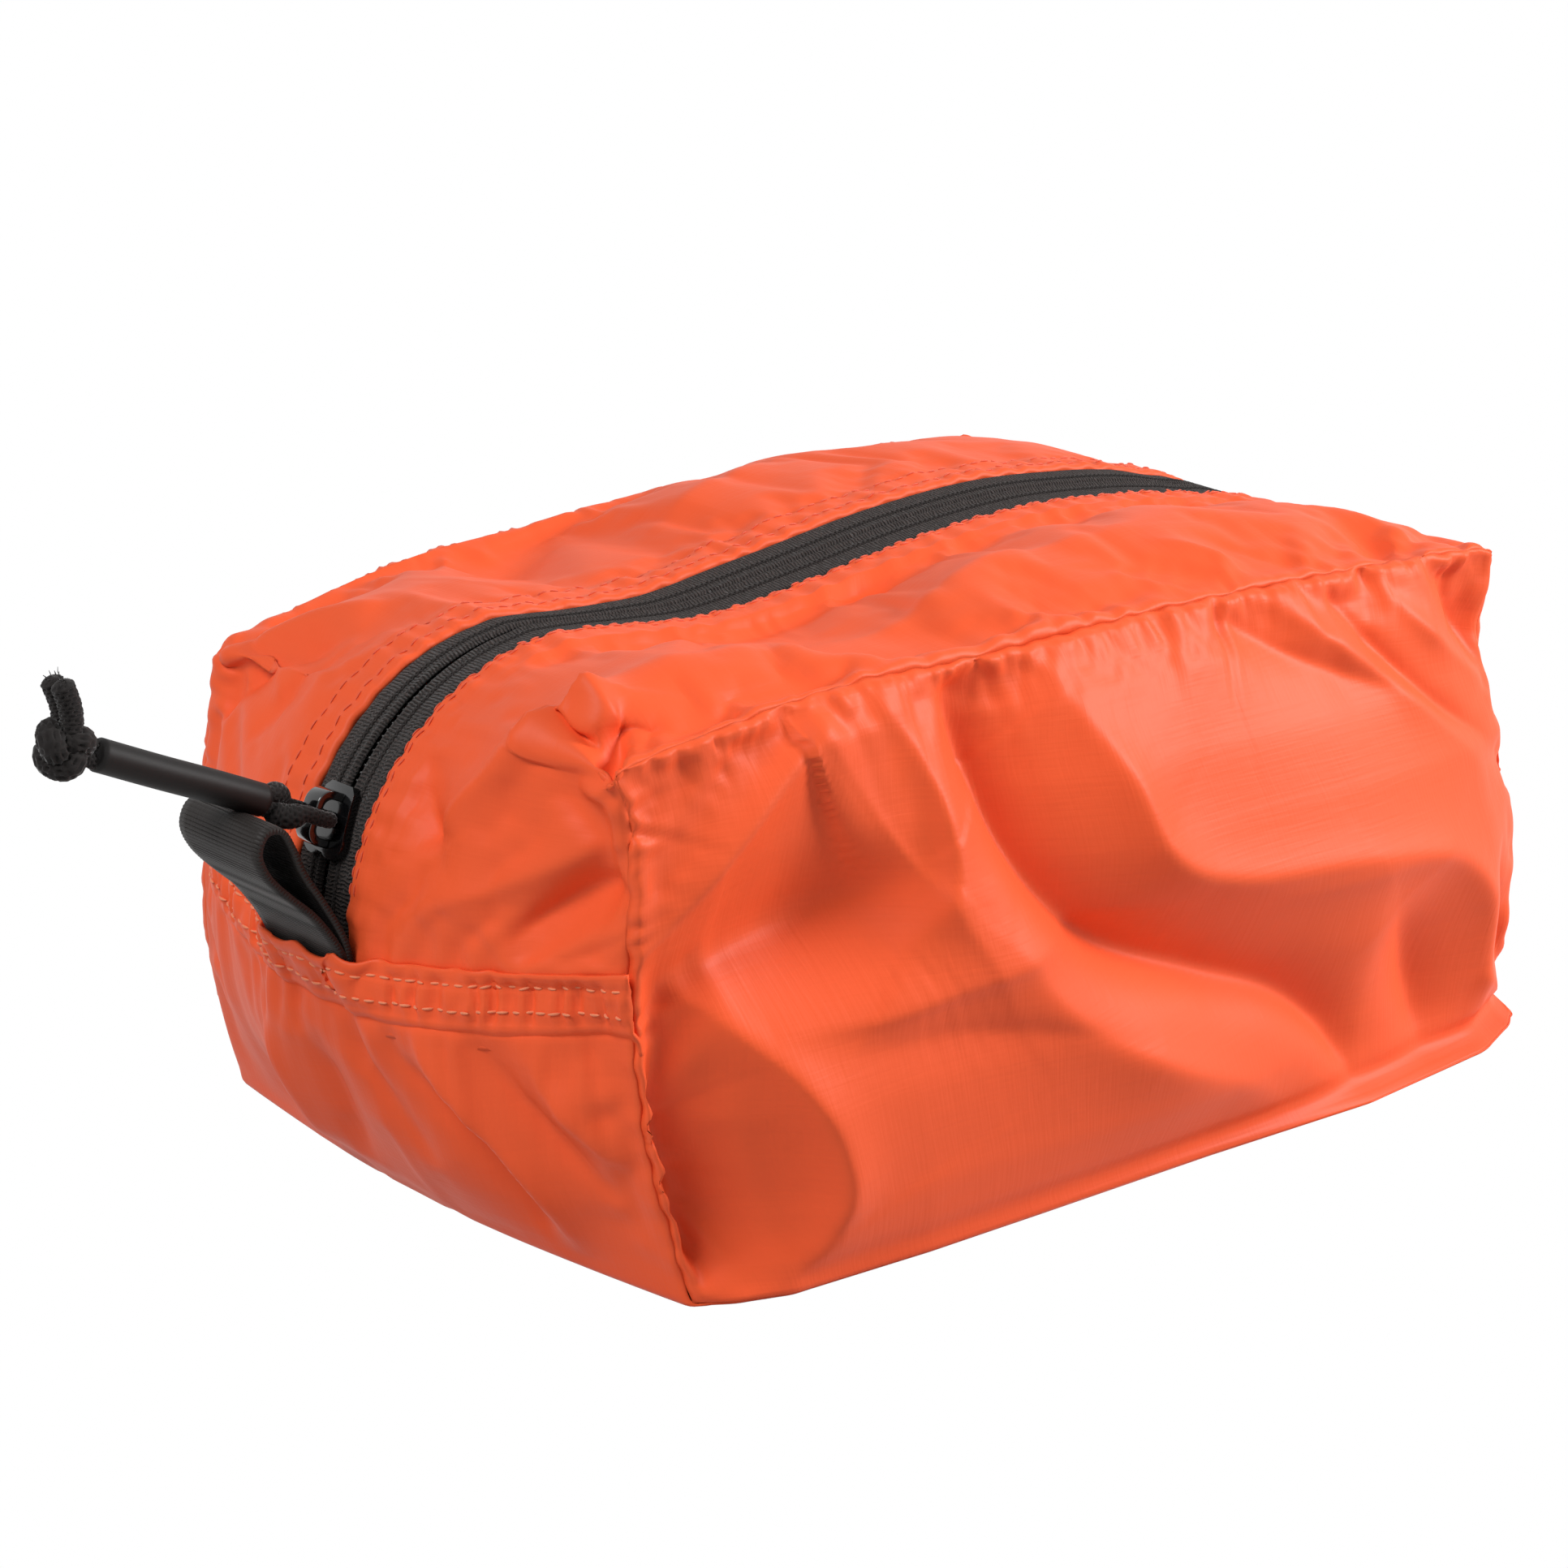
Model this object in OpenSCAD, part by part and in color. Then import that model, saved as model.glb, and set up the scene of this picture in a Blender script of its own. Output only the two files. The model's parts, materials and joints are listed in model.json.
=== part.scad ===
// A small box-shaped stuff sack for hiking: two bulged side panels, a bottom gusset that runs up
// both ends, and a zip gusset that runs over the top from end to end, with a webbing tab at each
// end of the zip. Millimetres, +Z up, origin at the centre of the face that the sack rests on.

/* [Sack] */
// Length between the side seams of the front panel, at their widest
seam_len = 189; // [160:1:230]
// Length of the floor along the side seams
seam_floor_len = 174; // [150:1:185]
// Length between the zip tape's outer faces, from end to end
zip_len = 215; // [195:1:260]
// Length of the floor along the middle of the sack
zip_floor_len = 184; // [160:1:190]
// Depth between the front and back seams
depth = 114; // [80:1:150]
// Height of the side seams at the top corners
seam_height = 82; // [70:1:110]
// Height of the zip tape where its end curves meet the top
zip_height = 86; // [76:1:120]
// Radius of the seam at the top corners of a side panel
seam_corner_r = 4; // [3:0.5:8]
// Angle that the top rises by from each end towards its middle
crown_angle = 4; // [2:0.5:6]
// How far the side panels bulge past their seams
panel_bulge = 18; // [4:1:25]
// Height at which the side panels are fullest
panel_fullest = 37; // [28:1:50]
// How far the floor's long edges bow out between the corners
floor_bow = 13; // [0:1:16]
// Height of the highest folds in the side panels
fold_height = 4.5; // [0:0.5:6]
// Thickness that stands for one layer of cloth
cloth = 1.3; // [0.8:0.1:2]
// Gap left between layers of cloth that lie on each other
layer_gap = 0.1; // [0.05:0.05:0.3]

/* [End seams] */
// Height of the end seam's folded edge at the zip
band_height = 46; // [40:1:50]
// How much higher the folded edge lies at the side seams
band_rise = 6; // [0:1:12]
// Width of the folded end seam
band_width = 12; // [8:1:16]
// Thickness of the folded end seam
band_thick = 1.1; // [0.8:0.1:2]

/* [Zip] */
// Radius of the tape's outer face where the zip turns down each end
zip_turn_r = 40; // [30:1:50]
// Width of the tape that shows between the gusset's two edges
tape_show = 13.6; // [12:0.1:20]
// Full width of the closed tape
tape_width = 30; // [24:1:34]
// Thickness of the tape
tape_thick = 0.6; // [0.4:0.1:1]
// Gap between the tapes along the stretch that the slider travels
travel_gap = 1.7; // [1.4:0.1:2.5]
// Gap between the tapes where the zip stays closed
closed_gap = 0.2; // [0.1:0.05:0.4]
// Full width of the closed coil
coil_width = 6.2; // [5:0.1:7]
// Height of the coil below the tape
coil_high = 2.1; // [1.5:0.1:3]
// Distance from one drawn turn of the coil to the next, which stands for two real turns
coil_pitch = 2.6; // [2:0.1:4]
// Length of tape sewn in below each end seam's folded edge
tape_tuck = 10; // [6:1:14]

/* [Slider] */
// Length of the slider
slider_len = 11; // [9:0.5:13]
// Width of the slider's upper plate at its two-lane end
slider_wide = 9.4; // [8.6:0.1:10.4]
// Width of the slider's upper plate at its other end
slider_narrow = 7; // [6:0.1:8]
// Thickness of the slider's plates
plate_thick = 1.2; // [1:0.1:1.6]
// Running clearance between the slider and the zip
slider_clear = 0.5; // [0.4:0.05:0.7]
// Angle of the slider above the level of the turn's centre, as it rests
slider_angle = 25; // [22:1:40]
// Height of the eye under the slider's crown
eye_high = 2.8; // [2.6:0.1:3.4]
// Length of the eye under the slider's crown
eye_len = 5.8; // [4:0.1:7]
// Thickness of the crown's strap
crown_thick = 1.3; // [1:0.1:1.8]
// Width of the crown's strap
crown_wide = 3.4; // [2.5:0.1:4]

/* [Pull] */
// Diameter of the cord
cord_d = 2; // [1.6:0.1:2.1]
// Distance from the crown's eye to the sleeve
sleeve_start = 10.2; // [10:0.1:14]
// Length of the rubber sleeve
sleeve_len = 30.8; // [20:0.2:34]
// Outer diameter of the sleeve
sleeve_d = 5; // [4.8:0.1:6]
// Clearance between the sleeve or the knot and the cord
cord_clear = 0.1; // [0.05:0.05:0.3]

/* [Tabs] */
// Width of the webbing
tab_width = 20; // [15:1:25]
// Thickness of the webbing
tab_thick = 1.1; // [0.8:0.1:1.4]
// Inner radius of the webbing's fold
tab_fold_r = 3; // [2.5:0.1:3.2]
// Distance from the crown's eye to the place where the sleeve rests on the left tab's fold
tab_along = 13; // [10.5:0.5:20]
// Gap left between the sleeve and the fold that it rests on
rest_gap = 0.6; // [0.3:0.1:1]
// Clearance between the tab's root and the end seam
tab_clear = 0.3; // [0.2:0.05:0.6]

/* [Hidden] */
$fn = 64;
orange = "#f26a45";
deep_orange = "#d9532f";
tape_grey = "#4e4542";
coil_grey = "#2b2826";
black = "#171717";
webbing_grey = "#403733";

// Segments of each stretch of the sack's outline, from the middle of the floor to the middle of
// the top: the floor, the end below and above its seam, the turn and the top
floor_n = 7;
low_n = 6;
high_n = 3;
turn_n = 18;
top_n = 7;
// Segments from a side seam to the level strip under the zip, and from a panel's seam inwards
side_n = 8;
front_n = 12;
back_n = 8;

half_depth = depth / 2;
// The sack's outer skin lies this far outside the tape's outer face
skin = cloth + layer_gap;
// The outline stays the same across this half width, so that the tapes lie flat against it
level_half = tape_width / 2 + 1;
// How flat the side panels' bulge is in its middle, along the panel and up it
flat_along = 3.4;
flat_up = 2.4;
// The panels' main folds, left by the cloth's slack: the points of each, as shares of half the
// panel's length from its middle and of its height, its half width in mm and its share of the
// fold height, which is below 0 where the cloth goes in
front_folds = [
    [[[-0.8, 0.86], [-0.68, 0.8]], 13, -1],
    [[[-0.5, 0.9], [-0.46, 0.7], [-0.22, 0.36], [0.35, 0.13]], 9, 0.7],
    [[[-0.28, 0.66], [-0.1, 0.5], [0.1, 0.42], [0.5, 0.14]], 9, -0.8],
    [[[-0.18, 0.9], [-0.05, 0.62], [0.42, 0.5], [0.85, 0.16]], 9, 0.7],
    [[[0.28, 0.9], [0.6, 0.7]], 8, -0.5],
    [[[0.5, 0.92], [0.82, 0.66]], 8, 0.6],
    [[[0.62, 0.28], [0.7, 0.14]], 12, -0.8],
    [[[-0.9, 0.38], [-0.84, 0.14]], 11, -1]];
back_folds = [
    [[[-0.75, 0.8], [-0.2, 0.55], [0.1, 0.2]], 11, -0.7],
    [[[-0.5, 0.92], [0.1, 0.68], [0.45, 0.33]], 10, 0.7],
    [[[0.85, 0.75], [0.6, 0.45], [0.7, 0.15]], 11, -0.8]];
turn_r = zip_turn_r + skin;
turn_x = zip_len / 2 - zip_turn_r;
turn_z = zip_height - zip_turn_r;

function mix(a, b, t) = a + (b - a) * t;
function ease(t) = t * t * (3 - 2 * t);
function reverse(list) = [for (i = [len(list) - 1 : -1 : 0]) list[i]];
function flat(lists) = [for (list = lists, item = list) item];
// A half outline with its mirror image, from the last point on the left to the last on the right
function both_ends(half) =
    concat(reverse(half), [for (i = [1 : len(half) - 1]) [-half[i][0], half[i][1], half[i][2]]]);

// The sack's outline in XZ changes with y: 1 along the zip and 0 at the side seams
function zipness(y) =
    abs(y) <= level_half ? 1 : 1 - ease((abs(y) - level_half) / (half_depth - level_half));
function corner_r(y) = mix(seam_corner_r, turn_r, zipness(y));
function half_len(y) = mix(seam_len / 2, zip_len / 2 + skin, zipness(y));
function half_floor(y) = mix(seam_floor_len / 2, zip_floor_len / 2, zipness(y));
function corner_z(y) = mix(seam_height, zip_height + skin, zipness(y)) - corner_r(y);
function corner_x(y) = half_len(y) - corner_r(y);
// Each end curves in from its widest, at corner_z, to the floor
function end_lean(y) = half_len(y) - half_floor(y);
function end_r(y) = (corner_z(y) ^ 2 + end_lean(y) ^ 2) / (2 * end_lean(y));
function end_x(y, z, inset) =
    end_r(y) - half_len(y) - sqrt((end_r(y) - inset) ^ 2 - (corner_z(y) - z) ^ 2);
// The top is a shallow arc, tangent to the two turns
function top_r(y) = corner_x(y) / sin(crown_angle) + corner_r(y);
function top_z(y) = corner_z(y) - corner_x(y) / tan(crown_angle);
function seam_z(y) = band_height - band_width / 2 + band_rise * (1 - zipness(y));

// Points of the left half outline as [x, z, bow], where bow widens the floor's long edges
function floor_points(y, inset) =
    [for (i = [0 : floor_n]) let (t = i / floor_n)
        [t * end_x(y, inset, inset), inset, floor_bow * (1 - t ^ 2)]];
function end_points(y, inset, z0, z1, n) =
    [for (i = [1 : n]) let (z = mix(z0, z1, i / n)) [end_x(y, z, inset), z, 0]];
function turn_points(y, inset) =
    [for (i = [1 : turn_n]) let (a = mix(180, 90 + crown_angle, i / turn_n), r = corner_r(y) - inset)
        [r * cos(a) - corner_x(y), r * sin(a) + corner_z(y), 0]];
function top_points(y, inset) =
    [for (i = [1 : top_n]) let (a = crown_angle * (1 - i / top_n), r = top_r(y) - inset)
        [-r * sin(a), r * cos(a) + top_z(y), 0]];
function floor_half(y, inset) =
    concat(floor_points(y, inset), end_points(y, inset, inset, seam_z(y), low_n));
function top_half(y, inset) =
    concat([[end_x(y, seam_z(y), inset), seam_z(y), 0]],
           end_points(y, inset, seam_z(y), corner_z(y), high_n), turn_points(y, inset),
           top_points(y, inset));
function seam_loop(inset) =
    let (left = concat(floor_half(half_depth, inset),
                       [for (i = [1 : len(top_half(half_depth, inset)) - 1])
                           top_half(half_depth, inset)[i]]))
    concat(left, [for (i = [len(left) - 2 : -1 : 1]) [-left[i][0], left[i][1], left[i][2]]]);

// Where the rows across the gussets lie, so that layers on each other have the same facets
side_rows = [for (j = [0 : side_n]) mix(-half_depth, -level_half, j / side_n)];
full_rows = concat(side_rows, reverse(-side_rows));

// A row of a gusset at y, as points in space
function gusset_row(outline, y, inset) =
    [for (p = outline) [p[0], y / half_depth * (half_depth + p[2] - inset), p[1]]];

// A sheet with an outer and an inner grid of points, closed at its four edges
module sheet(outer, inner) {
    rows = len(outer);
    cols = len(outer[0]);
    function at(side, i, j) = side * rows * cols + i * cols + j;
    function quad(a, b, c, d) = [[a, b, c], [a, c, d]];
    polyhedron(flat([flat(outer), flat(inner)]), flat([
        for (i = [0 : rows - 2], j = [0 : cols - 2])
            concat(quad(at(0, i, j), at(0, i, j + 1), at(0, i + 1, j + 1), at(0, i + 1, j)),
                   quad(at(1, i, j), at(1, i + 1, j), at(1, i + 1, j + 1), at(1, i, j + 1))),
        for (i = [0 : rows - 2], j = [0, cols - 1])
            j == 0 ? quad(at(0, i, j), at(0, i + 1, j), at(1, i + 1, j), at(1, i, j))
                   : quad(at(0, i, j), at(1, i, j), at(1, i + 1, j), at(0, i + 1, j)),
        for (j = [0 : cols - 2], i = [0, rows - 1])
            i == 0 ? quad(at(0, i, j), at(1, i, j), at(1, i, j + 1), at(0, i, j + 1))
                   : quad(at(0, i, j), at(0, i, j + 1), at(1, i, j + 1), at(1, i, j))
    ]), convexity = 8);
}

// A tube of the cord's diameter along a route of [x, y, z] points
module tube(route, d, sides = 8) {
    n = len(route);
    function unit(v) = v / norm(v);
    function ahead(i) = unit(route[min(i + 1, n - 1)] - route[max(i - 1, 0)]);
    // The route stays close to a plane across Y, so its rings are set out from the X axis
    function side(i) = unit(cross(ahead(i), [1, 0, 0]));
    function ring(i) = [for (k = [0 : sides - 1]) let (a = 360 * k / sides)
        route[i] + d / 2 * (cos(a) * side(i) + sin(a) * cross(ahead(i), side(i)))];
    polyhedron(flat([for (i = [0 : n - 1]) ring(i)]), concat(
        [[for (k = [0 : sides - 1]) k]], [[for (k = [sides - 1 : -1 : 0]) (n - 1) * sides + k]],
        flat([for (i = [0 : n - 2], k = [0 : sides - 1]) let (
            a = i * sides + k, b = i * sides + (k + 1) % sides)
            [[a, a + sides, b + sides], [a, b + sides, b]]])), convexity = 8);
}

// PANELS AND GUSSETS

// Distance from a point to the nearest place on a line of points
function away(p, a, b) =
    norm(p - a - max(0, min(1, (p - a) * (b - a) / ((b - a) * (b - a)))) * (b - a));
function away_from(p, line) = min([for (i = [0 : len(line) - 2]) away(p, line[i], line[i + 1])]);
function on_panel(share) = [share[0] * seam_len / 2, share[1] * seam_height];
// How far a panel's folds stand out at a point [x, z] of it
function fold_out(p, folds) = fold_height * [for (f = folds) f[2]]
    * [for (f = folds) exp(-(away_from(p, [for (share = f[0]) on_panel(share)]) / f[1]) ^ 2)];
// How full a panel is at a point [x, z] of it: 1 where it bulges the most and 0 beside its seam
function fullness(x, z) =
    let (u = 2 * x / seam_len, above = seam_height - panel_fullest,
         v = (z - panel_fullest) / (z < panel_fullest ? panel_fullest : above))
        max(0, 1 - abs(u) ^ flat_along) * max(0, 1 - abs(v) ^ flat_up);

// The panel towards -Y: rings that shrink from the seam to where it is fullest, bulging
// outwards, with folds; all of it dies away at the seam
module side_panel(rings, folds) {
    function point(p, t, inset) =
        let (x = t * p[0], z = mix(panel_fullest, p[1], t),
             out = p[2] * t ^ 2 + panel_bulge * fullness(x, z) * (1 - t ^ 8)
                   + fold_out([x, z], folds) * (1 - t ^ 6))
        [x, inset - half_depth - out, z];
    steps = [for (k = [0 : rings - 1]) 1 - k / rings];
    n = len(seam_loop(0));
    function ring(inset) = flat([for (t = steps) [for (p = seam_loop(inset)) point(p, t, inset)]]);
    middles = [for (inset = [0, cloth]) point([0, panel_fullest, 0], 0, inset)];
    points = concat(ring(0), ring(cloth), middles);
    function at(side, k, i) = (side * rings + k) * n + i % n;
    polyhedron(points, flat([
        for (k = [0 : rings - 2], i = [0 : n - 1])
            [[at(0, k, i), at(0, k + 1, i), at(0, k + 1, i + 1)],
             [at(0, k, i), at(0, k + 1, i + 1), at(0, k, i + 1)],
             [at(1, k, i), at(1, k + 1, i + 1), at(1, k + 1, i)],
             [at(1, k, i), at(1, k, i + 1), at(1, k + 1, i + 1)]],
        for (i = [0 : n - 1])
            [[at(0, rings - 1, i), 2 * rings * n, at(0, rings - 1, i + 1)],
             [at(1, rings - 1, i), at(1, rings - 1, i + 1), 2 * rings * n + 1],
             [at(0, 0, i), at(0, 0, i + 1), at(1, 0, i + 1)],
             [at(0, 0, i), at(1, 0, i + 1), at(1, 0, i)]]
    ]), convexity = 8);
}

// Half of the zip gusset: from the side seam to the edge that is sewn along the tape
module zip_gusset() {
    rows = concat(side_rows, [-tape_show / 2]);
    sheet([for (y = rows) gusset_row(both_ends(reverse(top_half(y, 0))), y, 0)],
          [for (y = rows) gusset_row(both_ends(reverse(top_half(y, cloth))), y, cloth)]);
}

module floor_gusset() {
    sheet([for (y = full_rows) reverse(gusset_row(both_ends(floor_half(y, 0)), y, 0))],
          [for (y = full_rows) reverse(gusset_row(both_ends(floor_half(y, cloth)), y, cloth))]);
}

// The folded seam at the left end: the bottom gusset's edge, lapped over the zip gusset
module end_seam() {
    function row(y, out) = [for (i = [0 : high_n])
        let (z = seam_z(y) + band_width * (i / high_n - 0.5)) [end_x(y, z, -out), y, z]];
    sheet([for (y = full_rows) row(y, layer_gap + band_thick)],
          [for (y = full_rows) row(y, layer_gap)]);
}

// ZIP

// Points along the left half of the zip, from its tucked-in end to the middle of the top
function zip_half(inset) = concat(
    [for (i = [0 : high_n]) let (z = turn_z - tape_tuck * (1 - i / high_n))
        [end_x(0, z, inset), z, 0]],
    turn_points(0, inset), top_points(0, inset));

// A strip along the whole zip, below the tape's outer face by drop: it is narrower along the
// travelled stretch, at the left end, where the tapes stand apart for the slider's neck
module zip_strip(drop, thick, width) {
    apart = -travel_gap / 2;
    shut = -closed_gap / 2;
    outer = both_ends(reverse(zip_half(skin + drop)));
    inner = both_ends(reverse(zip_half(skin + drop + thick)));
    last = len(outer) - 1;
    module stretch(first, y0, y1) {
        line = concat([for (i = [first : last]) outer[i]], [for (i = [last : -1 : first]) inner[i]]);
        translate([0, y1, 0]) rotate([90, 0, 0]) linear_extrude(y1 - y0)
            polygon([for (p = line) [p[0], p[1]]]);
    }
    union() {
        stretch(0, -width / 2, apart);
        stretch(high_n + turn_n, apart, shut);
    }
}

// The grooves between the turns of the coil, cut into its inner face along the whole zip
module coil_grooves() {
    groove = coil_high * 0.45;
    line = both_ends(reverse(zip_half(skin + tape_thick + coil_high)));
    lengths = [for (i = [0 : len(line) - 2]) norm(line[i + 1] - line[i])];
    function start(i) = i == 0 ? 0 : lengths[i - 1] + start(i - 1);
    starts = [for (i = [0 : len(line) - 2]) start(i)];
    for (i = [0 : len(line) - 2]) {
        v = line[i + 1] - line[i];
        first = ceil(starts[i] / coil_pitch);
        past = ceil((starts[i] + lengths[i]) / coil_pitch);
        for (k = [first : 1 : past - 1])
            translate([line[i][0], 0, line[i][1]]) rotate([0, -atan2(v[1], v[0]), 0])
                translate([k * coil_pitch - starts[i], 0, 0])
                    cube([coil_pitch * 0.3, coil_width + 1, 2 * groove], center = true);
    }
}

// SLIDER

// Radii of the slider's faces about the turn's centre, from the inside outwards
lower_face = zip_turn_r - tape_thick - coil_high - slider_clear;
flange_face = zip_turn_r - tape_thick - slider_clear;
upper_face = zip_turn_r + slider_clear;
plate_face = upper_face + plate_thick;
eye_r = plate_face + eye_high / 2;
flange_wide = 1.1;
lower_half = coil_width / 2 + slider_clear + flange_wide;
neck_half = travel_gap / 2 - slider_clear + 0.15;

// The slider's frame: +Z out of the zip through the slider's middle, +X along the zip towards
// the top of the sack, with the origin at the turn's centre
module at_slider() {
    translate([-turn_x, 0, turn_z]) rotate([0, slider_angle - 90, 0]) children();
}

// The layer from radius r0 to r1, as wide as the outline that is drawn in its plane
module layer(r0, r1) {
    intersection() {
        rotate([90, 0, 0]) difference() {
            cylinder(r = r1, h = 2 * slider_wide, center = true, $fn = 256);
            cylinder(r = r0, h = 3 * slider_wide, center = true, $fn = 256);
        }
        linear_extrude(2 * zip_turn_r) children();
    }
}

// A plate's outline: two round lobes at the wide end, -X, and a narrower round end
module plate_outline(wide_half, narrow_half) {
    back = slider_len / 2;
    lobe = wide_half * 0.55;
    translate([lobe - back, wide_half - lobe]) circle(lobe);
    translate([lobe - back, lobe - wide_half]) circle(lobe);
    polygon([[lobe - back, -wide_half], [lobe - back, wide_half], [back - 1, narrow_half],
             [back, narrow_half - 1], [back, 1 - narrow_half], [back - 1, -narrow_half]]);
    translate([0.6 - back, -wide_half / 3]) square([2, wide_half / 1.5]);
}

module neck_outline() {
    front = slider_len / 2 - 0.6;
    polygon([[-front, -neck_half], [-front, neck_half], [-front / 3, neck_half],
             [0, 0.1], [0, -0.1], [-front / 3, -neck_half]]);
}

// CROWN

module rounded_top(width, height, r) {
    translate([-width / 2, -1]) square([width, height - r + 1]);
    translate([r - width / 2, height - r]) square([width - 2 * r, r]);
    for (x = [r - width / 2, width / 2 - r]) translate([x, height - r]) circle(r);
}

// TABS

tab_root_x = zip_len / 2 + skin + layer_gap + band_thick + tab_clear + tab_thick;
tab_root_z = band_height + tab_clear;
// The sleeve rests on the left tab's fold, so the fold's middle is set out from the pull: along
// it from the crown's eye, and square to it by tab_below
tab_below = sleeve_d / 2 + tab_fold_r + tab_thick + rest_gap;
tab_reach = turn_x + (eye_r + tab_along) * cos(slider_angle) + tab_below * sin(slider_angle)
    - tab_root_x;
tab_rise = turn_z + (eye_r + tab_along) * sin(slider_angle) - tab_below * cos(slider_angle)
    - tab_root_z;

// The left tab's webbing, from the root of its outer leg round the fold to the inner leg's root
function tab_middle(t) =
    let (p = [[0, 0], [0.2, tab_rise * 0.4], [tab_reach * 0.4, tab_rise * 0.6], [tab_reach, tab_rise]])
    (1 - t) ^ 3 * p[0] + 3 * t * (1 - t) ^ 2 * p[1] + 3 * t ^ 2 * (1 - t) * p[2] + t ^ 3 * p[3];
function tab_normal(t) =
    let (v = tab_middle(min(t + 0.01, 1)) - tab_middle(max(t - 0.01, 0))) [-v[1], v[0]] / norm(v);
// Half the distance between the legs' middle lines
function tab_spread(t) = mix(tab_thick / 2 + layer_gap, tab_fold_r + tab_thick / 2, ease(t));
tab_n = 10;
tab_line = concat(
    [for (i = [0 : tab_n]) let (t = i / tab_n) tab_middle(t) - tab_spread(t) * tab_normal(t)],
    [for (a = [15 : 15 : 165]) let (n = tab_normal(1), s = tab_spread(1))
        tab_middle(1) - s * (cos(a) * n + sin(a) * [-n[1], n[0]])],
    [for (i = [0 : tab_n]) let (t = 1 - i / tab_n) tab_middle(t) + tab_spread(t) * tab_normal(t)]);

// A strip of even thickness along a line of 2-D points
module line_strip(line, thick) {
    last = len(line) - 1;
    function normal(i) = let (v = line[min(i + 1, last)] - line[max(i - 1, 0)])
        [-v[1], v[0]] / norm(v);
    polygon(concat([for (i = [0 : last]) line[i] + thick / 2 * normal(i)],
                   [for (i = [last : -1 : 0]) line[i] - thick / 2 * normal(i)]));
}

module tab() {
    rotate([90, 0, 0]) translate([0, 0, -tab_width / 2]) linear_extrude(tab_width)
        line_strip(tab_line, tab_thick);
}

// CORD

// Half of the cord's route from the tip of its tail to the crown's eye: [distance from the eye,
// distance from the middle, rise of the tail]
cord_half = [[52, 1.25, 7.5], [51.8, 1.2, 5.2], [51.2, 1.1, 3], [50, 1.05, 1], [48.4, 1.05, 0.1],
             [45, 1.05, 0], [38, 1.05, 0], [30, 1.05, 0], [22, 1.05, 0], [14, 1.05, 0],
             [10.6, 1.05, 0], [9.4, 1.12, 0], [8, 1.6, 0], [6.5, 2.4, 0], [5, 3, 0], [3.4, 3.1, 0],
             [1.9, 3.1, 0], [0.7, 2.7, 0], [0.1, 1.9, 0], [0, 0.9, 0]];
cord_route = concat([for (p = cord_half) [p[2], -p[1], p[0]]],
                    [for (p = reverse(cord_half)) [p[2], p[1], p[0]]]);
strands_half = cord_half[10][1] + cord_d / 2 + cord_clear;
knot_turns = 3;
knot_pitch = cord_d * 0.95;
knot_start = sleeve_start + sleeve_len + cord_d;

// NODES

module front_panel() { color(orange) side_panel(front_n, front_folds); }

module back_panel() { color(orange) mirror([0, 1, 0]) side_panel(back_n, back_folds); }

module front_zip_gusset() { color(orange) zip_gusset(); }

module back_zip_gusset() { color(orange) mirror([0, 1, 0]) zip_gusset(); }

// Trimmed level where the sack rests
module bottom_gusset() {
    color(orange) difference() {
        floor_gusset();
        translate([-zip_len / 2, -depth, -cloth]) cube([zip_len, 2 * depth, cloth]);
    }
}

module left_end_seam() { color(deep_orange) end_seam(); }

module right_end_seam() { color(deep_orange) mirror([1, 0, 0]) end_seam(); }

module front_zip_tape() { color(tape_grey) zip_strip(0, tape_thick, tape_width); }

module back_zip_tape() { color(tape_grey) mirror([0, 1, 0]) zip_strip(0, tape_thick, tape_width); }

module front_zip_coil() {
    color(coil_grey) difference() {
        zip_strip(tape_thick, coil_high, coil_width);
        coil_grooves();
    }
}

module back_zip_coil() { mirror([0, 1, 0]) front_zip_coil(); }

module slider_body() {
    color(black) at_slider() union() {
        layer(upper_face, plate_face) plate_outline(slider_wide / 2, slider_narrow / 2);
        layer(lower_face - plate_thick, upper_face + 0.1) neck_outline();
        layer(lower_face - plate_thick, lower_face) plate_outline(lower_half, lower_half - 0.2);
        layer(lower_face - 0.1, flange_face) for (side = [-1, 1])
            translate([0, side * (lower_half - 0.2 - flange_wide / 2)])
                square([slider_len - 4, flange_wide - 0.2], center = true);
    }
}

module slider_crown() {
    outer_len = eye_len + 2 * crown_thick;
    color(black) at_slider() difference() {
        translate([0, crown_wide / 2, plate_face]) rotate([90, 0, 0]) linear_extrude(crown_wide)
            difference() {
                rounded_top(outer_len, eye_high + crown_thick, crown_thick * 1.8);
                rounded_top(eye_len, eye_high, eye_high / 2);
            }
        rotate([90, 0, 0]) cylinder(r = plate_face, h = 2 * crown_wide, center = true, $fn = 256);
    }
}

module pull_cord() {
    color(black) at_slider() translate([0, 0, eye_r]) tube(cord_route, cord_d);
}

module pull_sleeve() {
    color(webbing_grey) at_slider() translate([0, 0, eye_r + sleeve_start]) difference() {
        cylinder(d = sleeve_d, h = sleeve_len);
        translate([0, 0, -1]) cylinder(r = strands_half, h = sleeve_len + 2);
    }
}

module pull_knot() {
    color(black) at_slider() translate([0, 0, eye_r + knot_start])
        for (k = [0 : knot_turns - 1]) translate([0, 0, k * knot_pitch])
            rotate_extrude() translate([strands_half + cord_d / 2, 0]) circle(d = cord_d, $fn = 32);
}

module left_tab() {
    color(webbing_grey) translate([-tab_root_x, 0, tab_root_z]) mirror([1, 0, 0]) tab();
}

module right_tab() {
    color(webbing_grey) translate([tab_root_x, 0, tab_root_z]) tab();
}

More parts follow.
